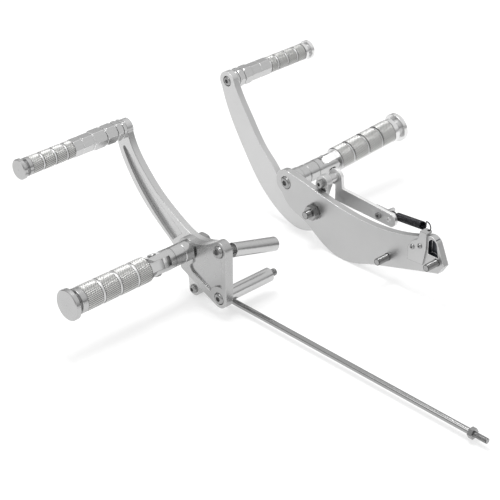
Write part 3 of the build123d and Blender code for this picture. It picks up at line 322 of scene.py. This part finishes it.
def make_grain_group():
    """Long fine marks of sanding: noise drawn out along Y, and a cloudy handling mask."""
    group, start, end = new_group(
        "sanding_grain",
        [("Vector", "NodeSocketVector", None), ("Fineness", "NodeSocketFloat", 1.0)],
        [("Grain", "NodeSocketFloat"), ("Cloud", "NodeSocketFloat")])
    stretch = add_node(group, "ShaderNodeVectorMath", {"operation": "MULTIPLY"})
    stretch.inputs[1].default_value = SANDING_CELLS
    group.links.new(start.outputs["Vector"], stretch.inputs[0])
    scaled = add_node(group, "ShaderNodeVectorMath", {"operation": "SCALE"})
    group.links.new(stretch.outputs[0], scaled.inputs[0])
    group.links.new(start.outputs["Fineness"], scaled.inputs["Scale"])
    group.links.new(noise_of(group, scaled.outputs[0], 1.0, 4.0, 0.6), end.inputs["Grain"])
    group.links.new(noise_of(group, start.outputs["Vector"], HANDLING_CELLS, 3.0), end.inputs["Cloud"])
    return group


def make_turning_group():
    """Fine rings left by a lathe tool, on the barrel from X and on the faces from the radius."""
    group, start, end = new_group(
        "lathe_rings",
        [("Vector", "NodeSocketVector", None), ("Rings per metre", "NodeSocketFloat", LATHE_RINGS)],
        [("Rings", "NodeSocketFloat"), ("Cloud", "NodeSocketFloat")])
    parts = add_node(group, "ShaderNodeSeparateXYZ")
    group.links.new(start.outputs["Vector"], parts.inputs[0])
    density = start.outputs["Rings per metre"]
    barrel = noise_line(group, calculate(group, "MULTIPLY", parts.outputs["X"], density))
    across, up = (calculate(group, "MULTIPLY", parts.outputs[axis], parts.outputs[axis])
                  for axis in "YZ")
    squares = calculate(group, "ADD", across, up)
    radius = calculate(group, "SQRT", squares)
    face = noise_line(group, calculate(group, "MULTIPLY", radius, density))
    both = calculate(group, "MULTIPLY", calculate(group, "ADD", barrel, face), 0.5)
    group.links.new(both, end.inputs["Rings"])
    cloud = noise_of(group, start.outputs["Vector"], LATHE_CLOUD_CELLS, 2.0)
    group.links.new(cloud, end.inputs["Cloud"])
    return group


def make_speck_group():
    """Small dark specks and a slow change of tone, as on plated fasteners."""
    group, start, end = new_group(
        "plating_specks", [("Vector", "NodeSocketVector", None)],
        [("Specks", "NodeSocketFloat"), ("Cloud", "NodeSocketFloat")])
    fine = noise_of(group, start.outputs["Vector"], SPECK_CELLS, 2.0)
    ramp = add_node(group, "ShaderNodeMapRange", (), {"From Min": 0.55, "From Max": 0.75})
    group.links.new(fine, ramp.inputs["Value"])
    group.links.new(ramp.outputs["Result"], end.inputs["Specks"])
    cloud = noise_of(group, start.outputs["Vector"], PLATING_CLOUD_CELLS, 3.0)
    group.links.new(cloud, end.inputs["Cloud"])
    return group


def make_edge_group():
    """Softened edges: the rounded normal, and a mask that is 1 along the edges of a part, where
    highlights and shade are painted.
    """
    group, start, end = new_group(
        "worn_edges", [("Radius", "NodeSocketFloat", 0.7 * MM)],
        [("Normal", "NodeSocketVector"), ("Edge", "NodeSocketFloat")])
    rounded = add_node(group, "ShaderNodeBevel", {"samples": 6})
    group.links.new(start.outputs["Radius"], rounded.inputs["Radius"])
    flat = add_node(group, "ShaderNodeNewGeometry")
    turned = add_node(group, "ShaderNodeVectorMath", {"operation": "DOT_PRODUCT"})
    group.links.new(rounded.outputs["Normal"], turned.inputs[0])
    group.links.new(flat.outputs["Normal"], turned.inputs[1])
    edge = add_node(group, "ShaderNodeMapRange", (), {"From Min": 0.985, "From Max": 0.9})
    group.links.new(turned.outputs["Value"], edge.inputs["Value"])
    group.links.new(rounded.outputs["Normal"], end.inputs["Normal"])
    group.links.new(edge.outputs["Result"], end.inputs["Edge"])
    return group


# Materials


def metal(name, roughness):
    """Material with a metallic shader; returns it with its tree and shader."""
    material = bpy.data.materials.new(name)
    material.use_nodes = True
    tree = material.node_tree
    shader = tree.nodes["Principled BSDF"]
    shader.inputs["Metallic"].default_value = 1.0
    shader.inputs["Roughness"].default_value = roughness
    return material, tree, shader


def use_group(tree, name, vector, values=()):
    """Place a shared group and feed it a vector."""
    node = add_node(tree, "ShaderNodeGroup")
    node.node_tree = bpy.data.node_groups[name]
    tree.links.new(vector, node.inputs["Vector"])
    for key, value in dict(values).items():
        node.inputs[key].default_value = value
    return node


def mix_colours(tree, mask, low, high):
    """Colour socket that goes from low to high with a mask; each is a colour or a socket."""
    mix = add_node(tree, "ShaderNodeMix", {"data_type": "RGBA"})
    tree.links.new(mask, mix.inputs["Factor"])
    ends = [item for item in mix.inputs if item.type == "RGBA"]
    for end, colour in zip(ends, (low, high)):
        if isinstance(colour, (tuple, list)):
            end.default_value = (*colour, 1.0)
        else:
            tree.links.new(colour, end)
    return next(item for item in mix.outputs if item.type == "RGBA")


def between(tree, mask, low, high, shader=None, socket=None):
    """Go from low to high with a mask, and drive a shader input where one is named; colours
    are mixed, numbers mapped."""
    if isinstance(low, (tuple, list)):
        result = mix_colours(tree, mask, low, high)
    else:
        ramp = add_node(tree, "ShaderNodeMapRange", (), {"From Min": 0.25, "From Max": 0.75,
                                                         "To Min": low, "To Max": high})
        tree.links.new(mask, ramp.inputs["Value"])
        result = ramp.outputs["Result"]
    if shader is not None:
        tree.links.new(result, shader.inputs[socket])
    return result


def relief_mask(tree):
    """The stored relief of a cut surface, 0 in its valleys and 1 on its crests, steepened."""
    stored = add_node(tree, "ShaderNodeAttribute", {"attribute_name": "relief"})
    ramp = add_node(tree, "ShaderNodeMapRange", (), {"From Min": 0.1, "From Max": 0.55})
    tree.links.new(stored.outputs["Fac"], ramp.inputs["Value"])
    return ramp.outputs["Result"]


def bump(tree, shader, height, distance, strength, edges=None):
    """Raise the shader's normal from a height socket, over the rounded normal where there is one."""
    node = add_node(tree, "ShaderNodeBump", (), {"Strength": strength, "Distance": distance})
    tree.links.new(height, node.inputs["Height"])
    if edges is not None:
        tree.links.new(edges.outputs["Normal"], node.inputs["Normal"])
    tree.links.new(node.outputs["Normal"], shader.inputs["Normal"])


def worn_edges(tree, radius):
    """Place the group of softened edges, whose mask carries painted highlights and painted shade, with
    its own radius.
    """
    node = add_node(tree, "ShaderNodeGroup")
    node.node_tree = bpy.data.node_groups["worn_edges"]
    node.inputs["Radius"].default_value = radius
    return node


def object_vector(tree, centre=None, direction=None):
    """Object coordinates, moved and turned so that X lies along a direction from a centre."""
    place = add_node(tree, "ShaderNodeTexCoord")
    if centre is None:
        return place.outputs["Object"]
    along, side, up = axes_along(direction)
    turn = Matrix((along, side, up)).transposed().to_euler()
    mapping = add_node(tree, "ShaderNodeMapping", {"vector_type": "TEXTURE"},
                       {"Location": tuple(centre), "Rotation": tuple(turn)})
    tree.links.new(place.outputs["Object"], mapping.inputs["Vector"])
    return mapping.outputs["Vector"]


def shade(colour, factor):
    """Colour made lighter or darker."""
    return tuple(min(1.0, part * factor) for part in colour)


def inside_box(tree, vector, low, high, planes):
    """Mask that is 1 inside a box of Object coordinates, on the inward side of slanted planes,
    each a point on it and its inward direction."""
    parts = add_node(tree, "ShaderNodeSeparateXYZ")
    tree.links.new(vector, parts.inputs[0])
    mask = None
    for axis in range(3):
        above = calculate(tree, "GREATER_THAN", parts.outputs[axis], low[axis])
        below = calculate(tree, "LESS_THAN", parts.outputs[axis], high[axis])
        both = calculate(tree, "MULTIPLY", above, below)
        mask = both if mask is None else calculate(tree, "MULTIPLY", mask, both)
    for corner, inward in planes:
        slant = add_node(tree, "ShaderNodeVectorMath", {"operation": "DOT_PRODUCT"})
        tree.links.new(vector, slant.inputs[0])
        slant.inputs[1].default_value = inward
        limit = float(np.dot(corner, inward))
        past = calculate(tree, "GREATER_THAN", slant.outputs["Value"], limit)
        mask = calculate(tree, "MULTIPLY", mask, past)
    return mask


def plate_material(name, colour, painted_edge_share, edge_radius, roughness=0.27, painted_pocket_shade=None,
                   rim_only=False):
    """Satin milled plate: sanding grain along it, a slow cloud, a painted highlight along its edges
    where their share is above 1 and painted shade where it is below, each in its own width, and
    painted shade on a pocket's floor or along its rim. Edges with painted shade are rougher and
    keep their own normal."""
    material, tree, shader = metal(name, roughness)
    vector = object_vector(tree)
    grain = use_group(tree, "sanding_grain", vector)
    tone = between(tree, grain.outputs["Grain"], shade(colour, 0.985), shade(colour, 1.015))
    # Painted shade: a dark colour over the pocket's floor, or only along its rim
    if painted_pocket_shade:
        *bounds, painted_shade_colour = painted_pocket_shade
        mask = inside_box(tree, vector, *bounds)
        if rim_only:
            rim = worn_edges(tree, POCKET_RIM)
            mask = calculate(tree, "MULTIPLY", mask, rim.outputs["Edge"])
        tone = mix_colours(tree, mask, tone, painted_shade_colour)
    # Painted highlight along the edges where their share is above 1, painted shade where it is below
    edges = worn_edges(tree, edge_radius)
    painted_light_and_finish = mix_colours(tree, edges.outputs["Edge"], tone, shade(colour, painted_edge_share))
    tree.links.new(painted_light_and_finish, shader.inputs["Base Color"])
    gloss = between(tree, grain.outputs["Cloud"], roughness * 0.9, roughness * 1.1)
    dark = painted_edge_share < 1.0
    if dark:
        rough_edge = calculate(tree, "MULTIPLY", edges.outputs["Edge"], 0.6)
        gloss = calculate(tree, "MAXIMUM", gloss, rough_edge)
    tree.links.new(gloss, shader.inputs["Roughness"])
    bump(tree, shader, grain.outputs["Grain"], 0.01 * MM, 0.06, None if dark else edges)
    return material


def turned_material(name, colour, centre, direction, edge_radius=0.0, roughness=0.22):
    """Satin turned bar with lathe rings about its own axis, and a painted highlight along its edges
    where asked.
    """
    material, tree, shader = metal(name, roughness)
    rings = use_group(tree, "lathe_rings", object_vector(tree, centre, direction))
    tone = between(tree, rings.outputs["Rings"], shade(colour, 0.88), shade(colour, 1.1))
    edges = worn_edges(tree, edge_radius) if edge_radius else None
    if edges is not None:
        # Painted highlight along the edges
        tone = mix_colours(tree, edges.outputs["Edge"], tone, shade(colour, 1.6))
    tree.links.new(tone, shader.inputs["Base Color"])
    between(tree, rings.outputs["Cloud"], roughness * 0.75, roughness * 1.25, shader, "Roughness")
    bump(tree, shader, rings.outputs["Rings"], 0.03 * MM, 0.4, edges)
    return material


def plated_material(name, colour, roughness):
    """Plated or oiled steel with specks."""
    material, tree, shader = metal(name, roughness)
    plating = use_group(tree, "plating_specks", object_vector(tree))
    between(tree, plating.outputs["Specks"], colour, shade(colour, 0.55), shader, "Base Color")
    between(tree, plating.outputs["Cloud"], roughness * 0.8, roughness * 1.3, shader, "Roughness")
    bump(tree, shader, plating.outputs["Cloud"], 0.02 * MM, 0.3)
    return material


def dress(node, material):
    """Give a solid its material."""
    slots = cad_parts[node].data.materials
    slots.clear()
    slots.append(material)


# Plate, its share of the plates' colour (a lighter or darker copy that paints how light falls on it),
# its edges' share of that (above 1 a painted highlight, below 1 painted shade) and width in mm,
# roughness
PLATES = (("shift_lever", 1.05, 0.3, 0.8, 0.27), ("brake_pedal", 1.1, 1.5, 0.8, 0.38),
          ("brake_link", 1.5, 1.5, 0.6, 0.5), ("spring_tab", 0.95, 0.35, 0.8, 0.3),
          ("spring_lug", 1.0, 0.35, 0.6, 0.3))
TURNED = ("left_peg_mount", "right_peg_mount", "left_peg_collar", "right_peg_collar",
          "right_peg_spacer", "left_toe_extension", "right_toe_extension", "left_foot_peg_cap",
          "right_foot_peg_cap", "left_toe_peg_cap", "right_toe_peg_cap", "left_lower_spacer",
          "link_bush", "left_foot_peg", "right_foot_peg", "left_toe_peg", "right_toe_peg")
# Ends of turned parts' names, share of the colour (lighter or darker copies that paint how light
# falls:
# a painted highlight on the pegs' barrels and grooves and on the right caps, painted shade on the
# other caps), width in mm of the edges' painted highlight, roughness; the first that fits a name holds
TURNED_PAINTED_LIGHT_AND_FINISH = ((("extension",), 1.0, 1.2, 0.22), (("foot_peg", "toe_peg"), 1.5, 0.0, 0.45),
                 (("right_foot_peg_cap", "right_toe_peg_cap"), 1.35, 0.0, 0.22),
                 (("_cap",), 0.85, 0.0, 0.22), (("",), 1.0, 0.0, 0.22))
DROOP_SHARE = 0.75           # of the drooping spacer's box height, along its axis
# The shift rod's share of the turned colour: a darker copy, painted shade
ROD_SHADE_SHARE, ROD_ROUGHNESS = 0.62, 0.16
STEEL = ("left_lower_frame_bolt", "left_upper_frame_bolt", "left_peg_bolt", "right_peg_bolt",
         "right_front_frame_bolt", "right_rear_frame_bolt", "pedal_pivot_bolt", "pedal_pivot_nut",
         "left_hinge_pin", "left_hinge_clip", "right_hinge_pin", "right_hinge_clip", "left_toe_bolt",
         "right_toe_bolt", "rod_bolt", "rod_bolt_nut", "rod_end", "front_jam_nut", "rear_jam_nut",
         "link_bolt", "spring_lug_screw", "spring_tab_screws", "lever_washer", "pedal_washer",
         "rod_ball")


class ControlsSizes(bpy.types.PropertyGroup):
    """Sizes of the pieces that are added to the solids."""
    knurl_height: bpy.props.FloatProperty(
        name="Knurl height", description="Height of the diamonds on the pegs",
        default=0.6 * MM, min=0.0, subtype="DISTANCE", unit="LENGTH")
    foot_cells: bpy.props.IntProperty(
        name="Foot peg diamonds", description="Diamonds round a foot peg", default=34, min=12)
    toe_cells: bpy.props.IntProperty(
        name="Toe peg diamonds", description="Diamonds round a toe peg", default=22, min=12)
    thread_pitch: bpy.props.FloatProperty(
        name="Thread pitch", description="Pitch of the frame bolts' threads",
        default=1.5 * MM, min=0.3 * MM, subtype="DISTANCE", unit="LENGTH")
    thread_depth: bpy.props.FloatProperty(
        name="Thread depth", description="Height of a thread's crest",
        default=0.45 * MM, min=0.0, subtype="DISTANCE", unit="LENGTH")
    wire_radius: bpy.props.FloatProperty(
        name="Wire radius", description="Radius of the spring's wire",
        default=0.8 * MM, min=0.1 * MM, subtype="DISTANCE", unit="LENGTH")
    coil_turns: bpy.props.IntProperty(
        name="Coil turns", description="Turns of the return spring", default=42, min=4)


class ControlsColours(bpy.types.PropertyGroup):
    """Colours of the finishes and the floor."""
    plate: bpy.props.FloatVectorProperty(
        name="Plates", description="Milled plates",
        subtype="COLOR", default=(0.53, 0.53, 0.53), min=0.0, max=1.0)
    turned: bpy.props.FloatVectorProperty(
        name="Turned parts", description="Turned aluminium",
        subtype="COLOR", default=(0.55, 0.55, 0.55), min=0.0, max=1.0)
    knurl: bpy.props.FloatVectorProperty(
        name="Knurling", description="Knurled pegs",
        subtype="COLOR", default=(0.54, 0.54, 0.53), min=0.0, max=1.0)
    steel: bpy.props.FloatVectorProperty(
        name="Fasteners", description="Plated steel",
        subtype="COLOR", default=(0.34, 0.34, 0.34), min=0.0, max=1.0)
    spring: bpy.props.FloatVectorProperty(
        name="Spring", description="Blackened spring wire",
        subtype="COLOR", default=(0.03, 0.03, 0.033), min=0.0, max=1.0)
    bronze: bpy.props.FloatVectorProperty(
        name="Bushes", description="Bearing bronze",
        subtype="COLOR", default=(0.55, 0.40, 0.20), min=0.0, max=1.0)
    # Colour of the painted shade along the rim of the bracket's pocket
    rim: bpy.props.FloatVectorProperty(
        name="Pocket rim", description="Dark rim of the bracket's pocket",
        subtype="COLOR", default=(0.10, 0.10, 0.10), min=0.0, max=1.0)
    # Colour of the painted shade on the floor of the plate's window
    window: bpy.props.FloatVectorProperty(
        name="Window floor", description="Dark floor of the plate's window",
        subtype="COLOR", default=(0.12, 0.125, 0.14), min=0.0, max=1.0)
    floor: bpy.props.FloatVectorProperty(
        name="Floor", description="Studio floor",
        subtype="COLOR", default=(0.92, 0.92, 0.92), min=0.0, max=1.0)


def sizes():
    """The scene's sizes."""
    return bpy.context.scene.controls_sizes


def colours():
    """The scene's colours."""
    return bpy.context.scene.controls_colours


class CONTROLS_OT_finishes(bpy.types.Operator):
    """Build the shared shader groups of the metal finishes"""
    bl_idname = "controls.finishes"
    bl_label = "Shared finishes"

    def execute(self, context):
        make_grain_group()
        make_turning_group()
        make_speck_group()
        make_edge_group()
        return {"FINISHED"}


class CONTROLS_OT_plates(bpy.types.Operator):
    """Finish the milled plates: brackets, lever, pedal and link"""
    bl_idname = "controls.plates"
    bl_label = "Milled plates"

    def execute(self, context):
        colour = tuple(colours().plate)
        for node, share, painted_edge_share, edge_radius, roughness in PLATES:
            dress(node, plate_material(node + "_plate", shade(colour, share), painted_edge_share,
                                       edge_radius * MM, roughness))
        left, right = (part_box(node) for node in ("left_bracket", "right_main_plate"))
        rim = self.pocket((left[0].x, left[0].x), middle("left_peg_collar"), BRACKET_POCKET)
        # The shares here are lighter or darker copies that paint how light falls; edge shares above 1
        # are painted highlights
        dress("left_bracket", plate_material("pocketed_plate", shade(colour, 0.82), 1.4, 0.5 * MM,
                                             painted_pocket_shade=(*rim, tuple(colours().rim)), rim_only=True))
        window = self.pocket((right[0].x, right[1].x), middle("right_peg_collar"), PLATE_WINDOW)
        dress("right_main_plate",
              plate_material("windowed_plate", shade(colour, 0.95), 1.8, 1.0 * MM, 0.38,
                             painted_pocket_shade=(*window, tuple(colours().window))))
        return {"FINISHED"}

    @staticmethod
    def pocket(sides, peg, table):
        """Corners and slanted planes of a pocket's painted shade, from a table in mm."""
        insets, corners, planes = table
        low, high = ((side + inset * MM, peg.y + y * MM, peg.z + z * MM)
                     for side, inset, (y, z) in zip(sides, insets, corners))
        slants = tuple(((0.0, peg.y + y * MM, peg.z + z * MM), inward) for (y, z), inward in planes)
        return low, high, slants


class CONTROLS_OT_turned(bpy.types.Operator):
    """Finish the turned parts, each with lathe rings about its own axis"""
    bl_idname = "controls.turned"
    bl_label = "Turned parts"

    def execute(self, context):
        colour = tuple(colours().turned)
        raised = middle("right_foot_peg_cap") - middle("right_hinge_pin")
        for node in TURNED:
            axis = raised if node.startswith("right_foot_peg") else (1, 0, 0)
            share, edge_radius, roughness = next(painted_light_and_finish for endings, *painted_light_and_finish in TURNED_PAINTED_LIGHT_AND_FINISH
                                                 if node.endswith(endings))
            dress(node, turned_material(node + "_turned", shade(colour, share), middle(node), axis,
                                        edge_radius * MM, roughness))
        low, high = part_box("left_upper_spacer")
        droop = (high.x - low.x, 0, -(high.z - low.z) * DROOP_SHARE)
        dress("left_upper_spacer", turned_material("left_upper_spacer_turned", colour,
                                                   middle("left_upper_spacer"), droop))
        dress("shift_rod", turned_material("shift_rod_turned", shade(colour, ROD_SHADE_SHARE),
                                           middle("shift_rod"), (0, 1, 0), roughness=ROD_ROUGHNESS))
        return {"FINISHED"}


class CONTROLS_OT_knurling(bpy.types.Operator):
    """Add the diamond knurling of the foot pegs and toe pegs, band by band"""
    bl_idname = "controls.knurling"
    bl_label = "Knurling"

    def execute(self, context):
        material, tree, shader = metal("knurled_bar", 0.45)
        plating = use_group(tree, "plating_specks", object_vector(tree))
        colour = tuple(colours().knurl)
        # Painted shade in the diamonds' valleys and a painted highlight on their crests, from the
        # stored relief
        between(tree, relief_mask(tree), shade(colour, 0.07), shade(colour, 1.35), shader,
                "Base Color")
        between(tree, plating.outputs["Specks"], 0.42, 0.52, shader, "Roughness")
        pin = middle("right_hinge_pin")
        raised = middle("right_foot_peg_cap") - pin
        bars = (("left_foot_peg_knurl", "left_foot_peg",
                 self.root("left_foot_peg_cap", -1, HINGE_TO_CAP_END), (-1, 0, 0), True),
                ("right_foot_peg_knurl", "right_foot_peg", tuple(pin), tuple(raised), True),
                ("left_toe_peg_knurl", "shift_lever",
                 self.root("left_toe_peg_cap", -1, TOE_TO_CAP_END), (-1, 0, 0), False),
                ("right_toe_peg_knurl", "brake_pedal",
                 self.root("right_toe_peg_cap", 1, TOE_TO_CAP_END), (1, 0, 0), False))
        for name, body, origin, direction, foot in bars:
            radius, span, grooves, half, cells = (
                (PEG_R, PEG_SPAN, PEG_GROOVES, GROOVE_HALF, sizes().foot_cells) if foot
                else (TOE_R, TOE_SPAN, TOE_GROOVES, TOE_GROOVE_HALF, sizes().toe_cells))
            starts = (span[0],) + tuple(groove + half for groove in grooves)
            ends = tuple(groove - half for groove in grooves) + (span[1],)
            bands = [knurled_sleeve(origin, direction, radius, band, cells, sizes().knurl_height)
                     for band in zip(starts, ends)]
            piece_from(name, bands, material, body, smooth=False)
        return {"FINISHED"}

    @staticmethod
    def root(cap, side, length):
        """Start of a level peg that ends in a cap: its length inwards from the cap's outer face."""
        low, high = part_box(cap)
        centre = (low + high) / 2
        tip = high.x if side > 0 else low.x
        return tip - side * length, centre.y, centre.z


class CONTROLS_OT_fasteners(bpy.types.Operator):
    """Finish the bolts, nuts, clips and bushes, and cut the free threads"""
    bl_idname = "controls.fasteners"
    bl_label = "Fasteners and threads"

    def execute(self, context):
        steel = plated_material("plated_steel", tuple(colours().steel), 0.2)
        for node in STEEL:
            dress(node, steel)
        bronze = plated_material("bearing_bronze", tuple(colours().bronze), 0.35)
        for node in ("lever_bush", "pedal_bush"):
            dress(node, bronze)
        thread, tree, shader = metal("cut_thread", 0.3)
        # Painted shade in the thread's roots, from the stored relief
        between(tree, relief_mask(tree), shade(colours().steel, 0.18), shade(colours().steel, 0.9),
                shader, "Base Color")
        depth, pitch = sizes().thread_depth, sizes().thread_pitch
        bolt = middle("left_lower_spacer")
        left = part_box("left_lower_spacer")[1].x
        threads = [("left_frame_thread", "frame_side", (left, bolt.y, bolt.z), (1, 0, 0),
                    FRAME_THREAD_R, depth, pitch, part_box("left_lower_frame_bolt")[1].x - left)]
        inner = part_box("right_main_plate")[0].x
        for node in ("right_front_frame_bolt", "right_rear_frame_bolt"):
            bolt = middle(node)
            threads.append((node.replace("bolt", "thread"), "frame_side", (inner, bolt.y, bolt.z),
                            (-1, 0, 0), FRAME_THREAD_R, depth, pitch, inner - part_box(node)[0].x))
        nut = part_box("rear_jam_nut")[0].y
        rod = middle("shift_rod")
        threads.append(("rod_end_thread", "shift_rod", (rod.x, nut, rod.z), (0, -1, 0), ROD_THREAD_R,
                        ROD_THREAD_DEPTH, ROD_THREAD_PITCH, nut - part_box("shift_rod")[0].y))
        pivot = middle("pedal_pivot_nut")
        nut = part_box("pedal_pivot_nut")[0].x
        threads.append(("pivot_thread", "frame_side", (nut, pivot.y, pivot.z), (-1, 0, 0),
                        PIVOT_THREAD_R, depth, pitch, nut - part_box("pedal_pivot_bolt")[0].x))
        for name, body, *sleeve in threads:
            piece_from(name, [threaded_sleeve(*sleeve)], thread, body)
        return {"FINISHED"}


class CONTROLS_OT_spring(bpy.types.Operator):
    """Wind the return spring and bend its two hooks"""
    bl_idname = "controls.spring"
    bl_label = "Return spring"

    def execute(self, context):
        material = plated_material("blackened_wire", tuple(colours().spring), 0.32)
        wire = sizes().wire_radius
        peg = middle("right_peg_collar")
        corner = np.array((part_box("right_main_plate")[0].x, peg.y, peg.z))
        front, rear, lug_eye, *rear_hook = (corner + np.array(place) * MM
                                            for place in (COIL_FRONT, COIL_REAR, LUG_EYE, *REAR_HOOK))
        along, side, up = axes_along(rear - front)
        turns = sizes().coil_turns
        share = np.linspace(0, 1, turns * POINTS_PER_TURN + 1)[:, None]
        angle = share * 2 * math.pi * turns
        coil = front + (rear - front) * share + COIL_R * (np.cos(angle) * side + np.sin(angle) * up)
        across = unit(np.cross(-along, (0.0, 0.0, 1.0)))
        reach = np.linalg.norm(lug_eye - front)
        forward = np.array((coil[0], front - along * reach * FRONT_LEAD,
                            front + (lug_eye - front) * FRONT_BEND + across * FRONT_SWING,
                            *(lug_eye + along * run * MM + across * aside * MM
                              for run, aside in FRONT_HOOK)))
        backward = np.vstack((coil[-1], *rear_hook))
        grids = [wire_grid(coil, wire, along), self.hook(forward, wire), self.hook(backward, wire)]
        spring = piece_from("return_spring_coil", grids, material, None)
        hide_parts("return_spring")
        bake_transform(spring)
        return {"FINISHED"}

    @staticmethod
    def hook(knots, wire):
        """Wire from the coil's rim through the eye: a smooth curve through a few places, each
        point the sum of the places weighted by the steps of a cubic spline."""
        padded = np.concatenate((2 * knots[:1] - knots[1:2], knots, 2 * knots[-1:] - knots[-2:-1]))
        t = np.linspace(0, len(knots) - 1, HOOK_POINTS)
        index = np.minimum(t.astype(int), len(knots) - 2)
        u = (t - index)[:, None]
        p0, p1, p2, p3 = (padded[index + shift] for shift in range(4))
        path = 0.5 * (2 * p1 + (p2 - p0) * u + (2 * p0 - 5 * p1 + 4 * p2 - p3) * u ** 2
                      + (3 * p1 - p0 - 3 * p2 + p3) * u ** 3)
        return wire_grid(path, wire, np.array(HOOK_REFERENCE))


class CONTROLS_OT_stage(bpy.types.Operator):
    """Lay the pale floor, light it softly and place the camera"""
    bl_idname = "controls.stage"
    bl_label = "Stage"

    def execute(self, context):
        self.floor(CAD_BOX[0].z - FLOOR_GAP)
        self.world()
        for lamp in LAMPS:
            self.lamp(*lamp)
        self.camera()
        context.scene.view_settings.view_transform = "Standard"
        return {"FINISHED"}

    @staticmethod
    def floor(height):
        """Wide floor that reads white to the camera and to glossy rays, and keeps its shadows."""
        corners = [(x * FLOOR_HALF, y * FLOOR_HALF, height)
                   for x, y in ((-1, -1), (1, -1), (1, 1), (-1, 1))]
        mesh = bpy.data.meshes.new("floor")
        mesh.from_pydata(corners, [], [(0, 1, 2, 3)])
        floor = bpy.data.objects.new("floor", mesh)
        bpy.context.scene.collection.objects.link(floor)
        material = bpy.data.materials.new("studio_floor")
        material.use_nodes = True
        tree = material.node_tree
        tree.nodes.clear()
        paper = add_node(tree, "ShaderNodeBsdfDiffuse", (), {"Color": (*colours().floor, 1.0)})
        white = add_node(tree, "ShaderNodeEmission", (),
                         {"Color": (1.0, 1.0, 1.0, 1.0), "Strength": FLOOR_GLOW})
        seen = add_node(tree, "ShaderNodeLightPath")
        either = calculate(tree, "MAXIMUM", seen.outputs["Is Camera Ray"],
                           seen.outputs["Is Glossy Ray"])
        mix = add_node(tree, "ShaderNodeMixShader")
        tree.links.new(calculate(tree, "MULTIPLY", either, FLOOR_GLOW_SHARE), mix.inputs["Fac"])
        tree.links.new(paper.outputs[0], mix.inputs[1])
        tree.links.new(white.outputs[0], mix.inputs[2])
        out = add_node(tree, "ShaderNodeOutputMaterial")
        tree.links.new(mix.outputs[0], out.inputs["Surface"])
        mesh.materials.append(material)

    @staticmethod
    def world():
        """White to the camera; for light and reflections a grey room that is brighter overhead."""
        world = bpy.data.worlds.new("studio")
        world.use_nodes = True
        bpy.context.scene.world = world
        tree = world.node_tree
        tree.nodes.clear()
        place = add_node(tree, "ShaderNodeTexCoord")
        parts = add_node(tree, "ShaderNodeSeparateXYZ")
        tree.links.new(place.outputs["Generated"], parts.inputs[0])
        ramp = add_node(tree, "ShaderNodeMapRange", {"interpolation_type": "SMOOTHSTEP"},
                        {"From Min": -0.05, "From Max": 0.55, "To Min": 0.28, "To Max": 0.92})
        tree.links.new(parts.outputs["Z"], ramp.inputs["Value"])
        seen = add_node(tree, "ShaderNodeLightPath")
        strength = calculate(tree, "MAXIMUM", ramp.outputs["Result"], seen.outputs["Is Camera Ray"])
        background = add_node(tree, "ShaderNodeBackground", (), {"Color": (1.0, 1.0, 1.0, 1.0)})
        tree.links.new(strength, background.inputs["Strength"])
        out = add_node(tree, "ShaderNodeOutputWorld")
        tree.links.new(background.outputs[0], out.inputs["Surface"])

    @staticmethod
    def lamp(name, place, size, power):
        """Square soft lamp that faces the middle of the object."""
        light = bpy.data.lights.new(name, "AREA")
        light.energy = power
        light.size = size
        lamp = bpy.data.objects.new(name, light)
        bpy.context.scene.collection.objects.link(lamp)
        lamp.location = place
        target = (CAD_BOX[0] + CAD_BOX[1]) / 2
        lamp.rotation_euler = (target - Vector(place)).to_track_quat("-Z", "Y").to_euler()

    @staticmethod
    def camera():
        """Camera with the photograph's place, angle and focal length."""
        data = bpy.data.cameras.new("camera")
        data.sensor_width = SENSOR_MM
        data.lens = FOCAL_PIXELS / IMAGE_SIDE * SENSOR_MM
        data.clip_end = 100.0
        camera = bpy.data.objects.new("camera", data)
        bpy.context.scene.collection.objects.link(camera)
        azimuth, elevation = math.radians(CAMERA_AZIMUTH), math.radians(CAMERA_ELEVATION)
        level = math.cos(elevation)
        ahead = Vector((math.sin(azimuth) * level, math.cos(azimuth) * level, -math.sin(elevation)))
        camera.location = CAMERA_AT
        camera.rotation_euler = ahead.to_track_quat("-Z", "Y").to_euler()
        bpy.context.scene.camera = camera


class CONTROLS_PT_panel(bpy.types.Panel):
    """Sizes, colours and steps of the forward controls"""
    bl_idname = "CONTROLS_PT_panel"
    bl_label = "Forward controls"
    bl_space_type = "VIEW_3D"
    bl_region_type = "UI"
    bl_category = "Forward controls"

    def draw(self, context):
        layout = self.layout
        for group in (context.scene.controls_sizes, context.scene.controls_colours):
            box = layout.box()
            for name in group.__annotations__:
                box.prop(group, name)
        for operator in OPERATORS:
            layout.operator(operator.bl_idname)


OPERATORS = (CONTROLS_OT_finishes, CONTROLS_OT_plates, CONTROLS_OT_turned, CONTROLS_OT_knurling,
             CONTROLS_OT_fasteners, CONTROLS_OT_spring, CONTROLS_OT_stage)
CLASSES = (ControlsSizes, ControlsColours, *OPERATORS, CONTROLS_PT_panel)


def register():
    """Register the classes and hang the sizes and colours on the scene."""
    for item in CLASSES:
        bpy.utils.register_class(item)
    bpy.types.Scene.controls_sizes = bpy.props.PointerProperty(type=ControlsSizes)
    bpy.types.Scene.controls_colours = bpy.props.PointerProperty(type=ControlsColours)


def unregister():
    """Take the sizes, the colours and the classes away again."""
    del bpy.types.Scene.controls_sizes
    del bpy.types.Scene.controls_colours
    for item in reversed(CLASSES):
        bpy.utils.unregister_class(item)


def main():
    """Build the whole scene."""
    register()
    bpy.ops.controls.finishes()
    bpy.ops.controls.plates()
    bpy.ops.controls.turned()
    bpy.ops.controls.knurling()
    bpy.ops.controls.fasteners()
    bpy.ops.controls.spring()
    bpy.ops.controls.stage()


if __name__ == "__main__":
    main()
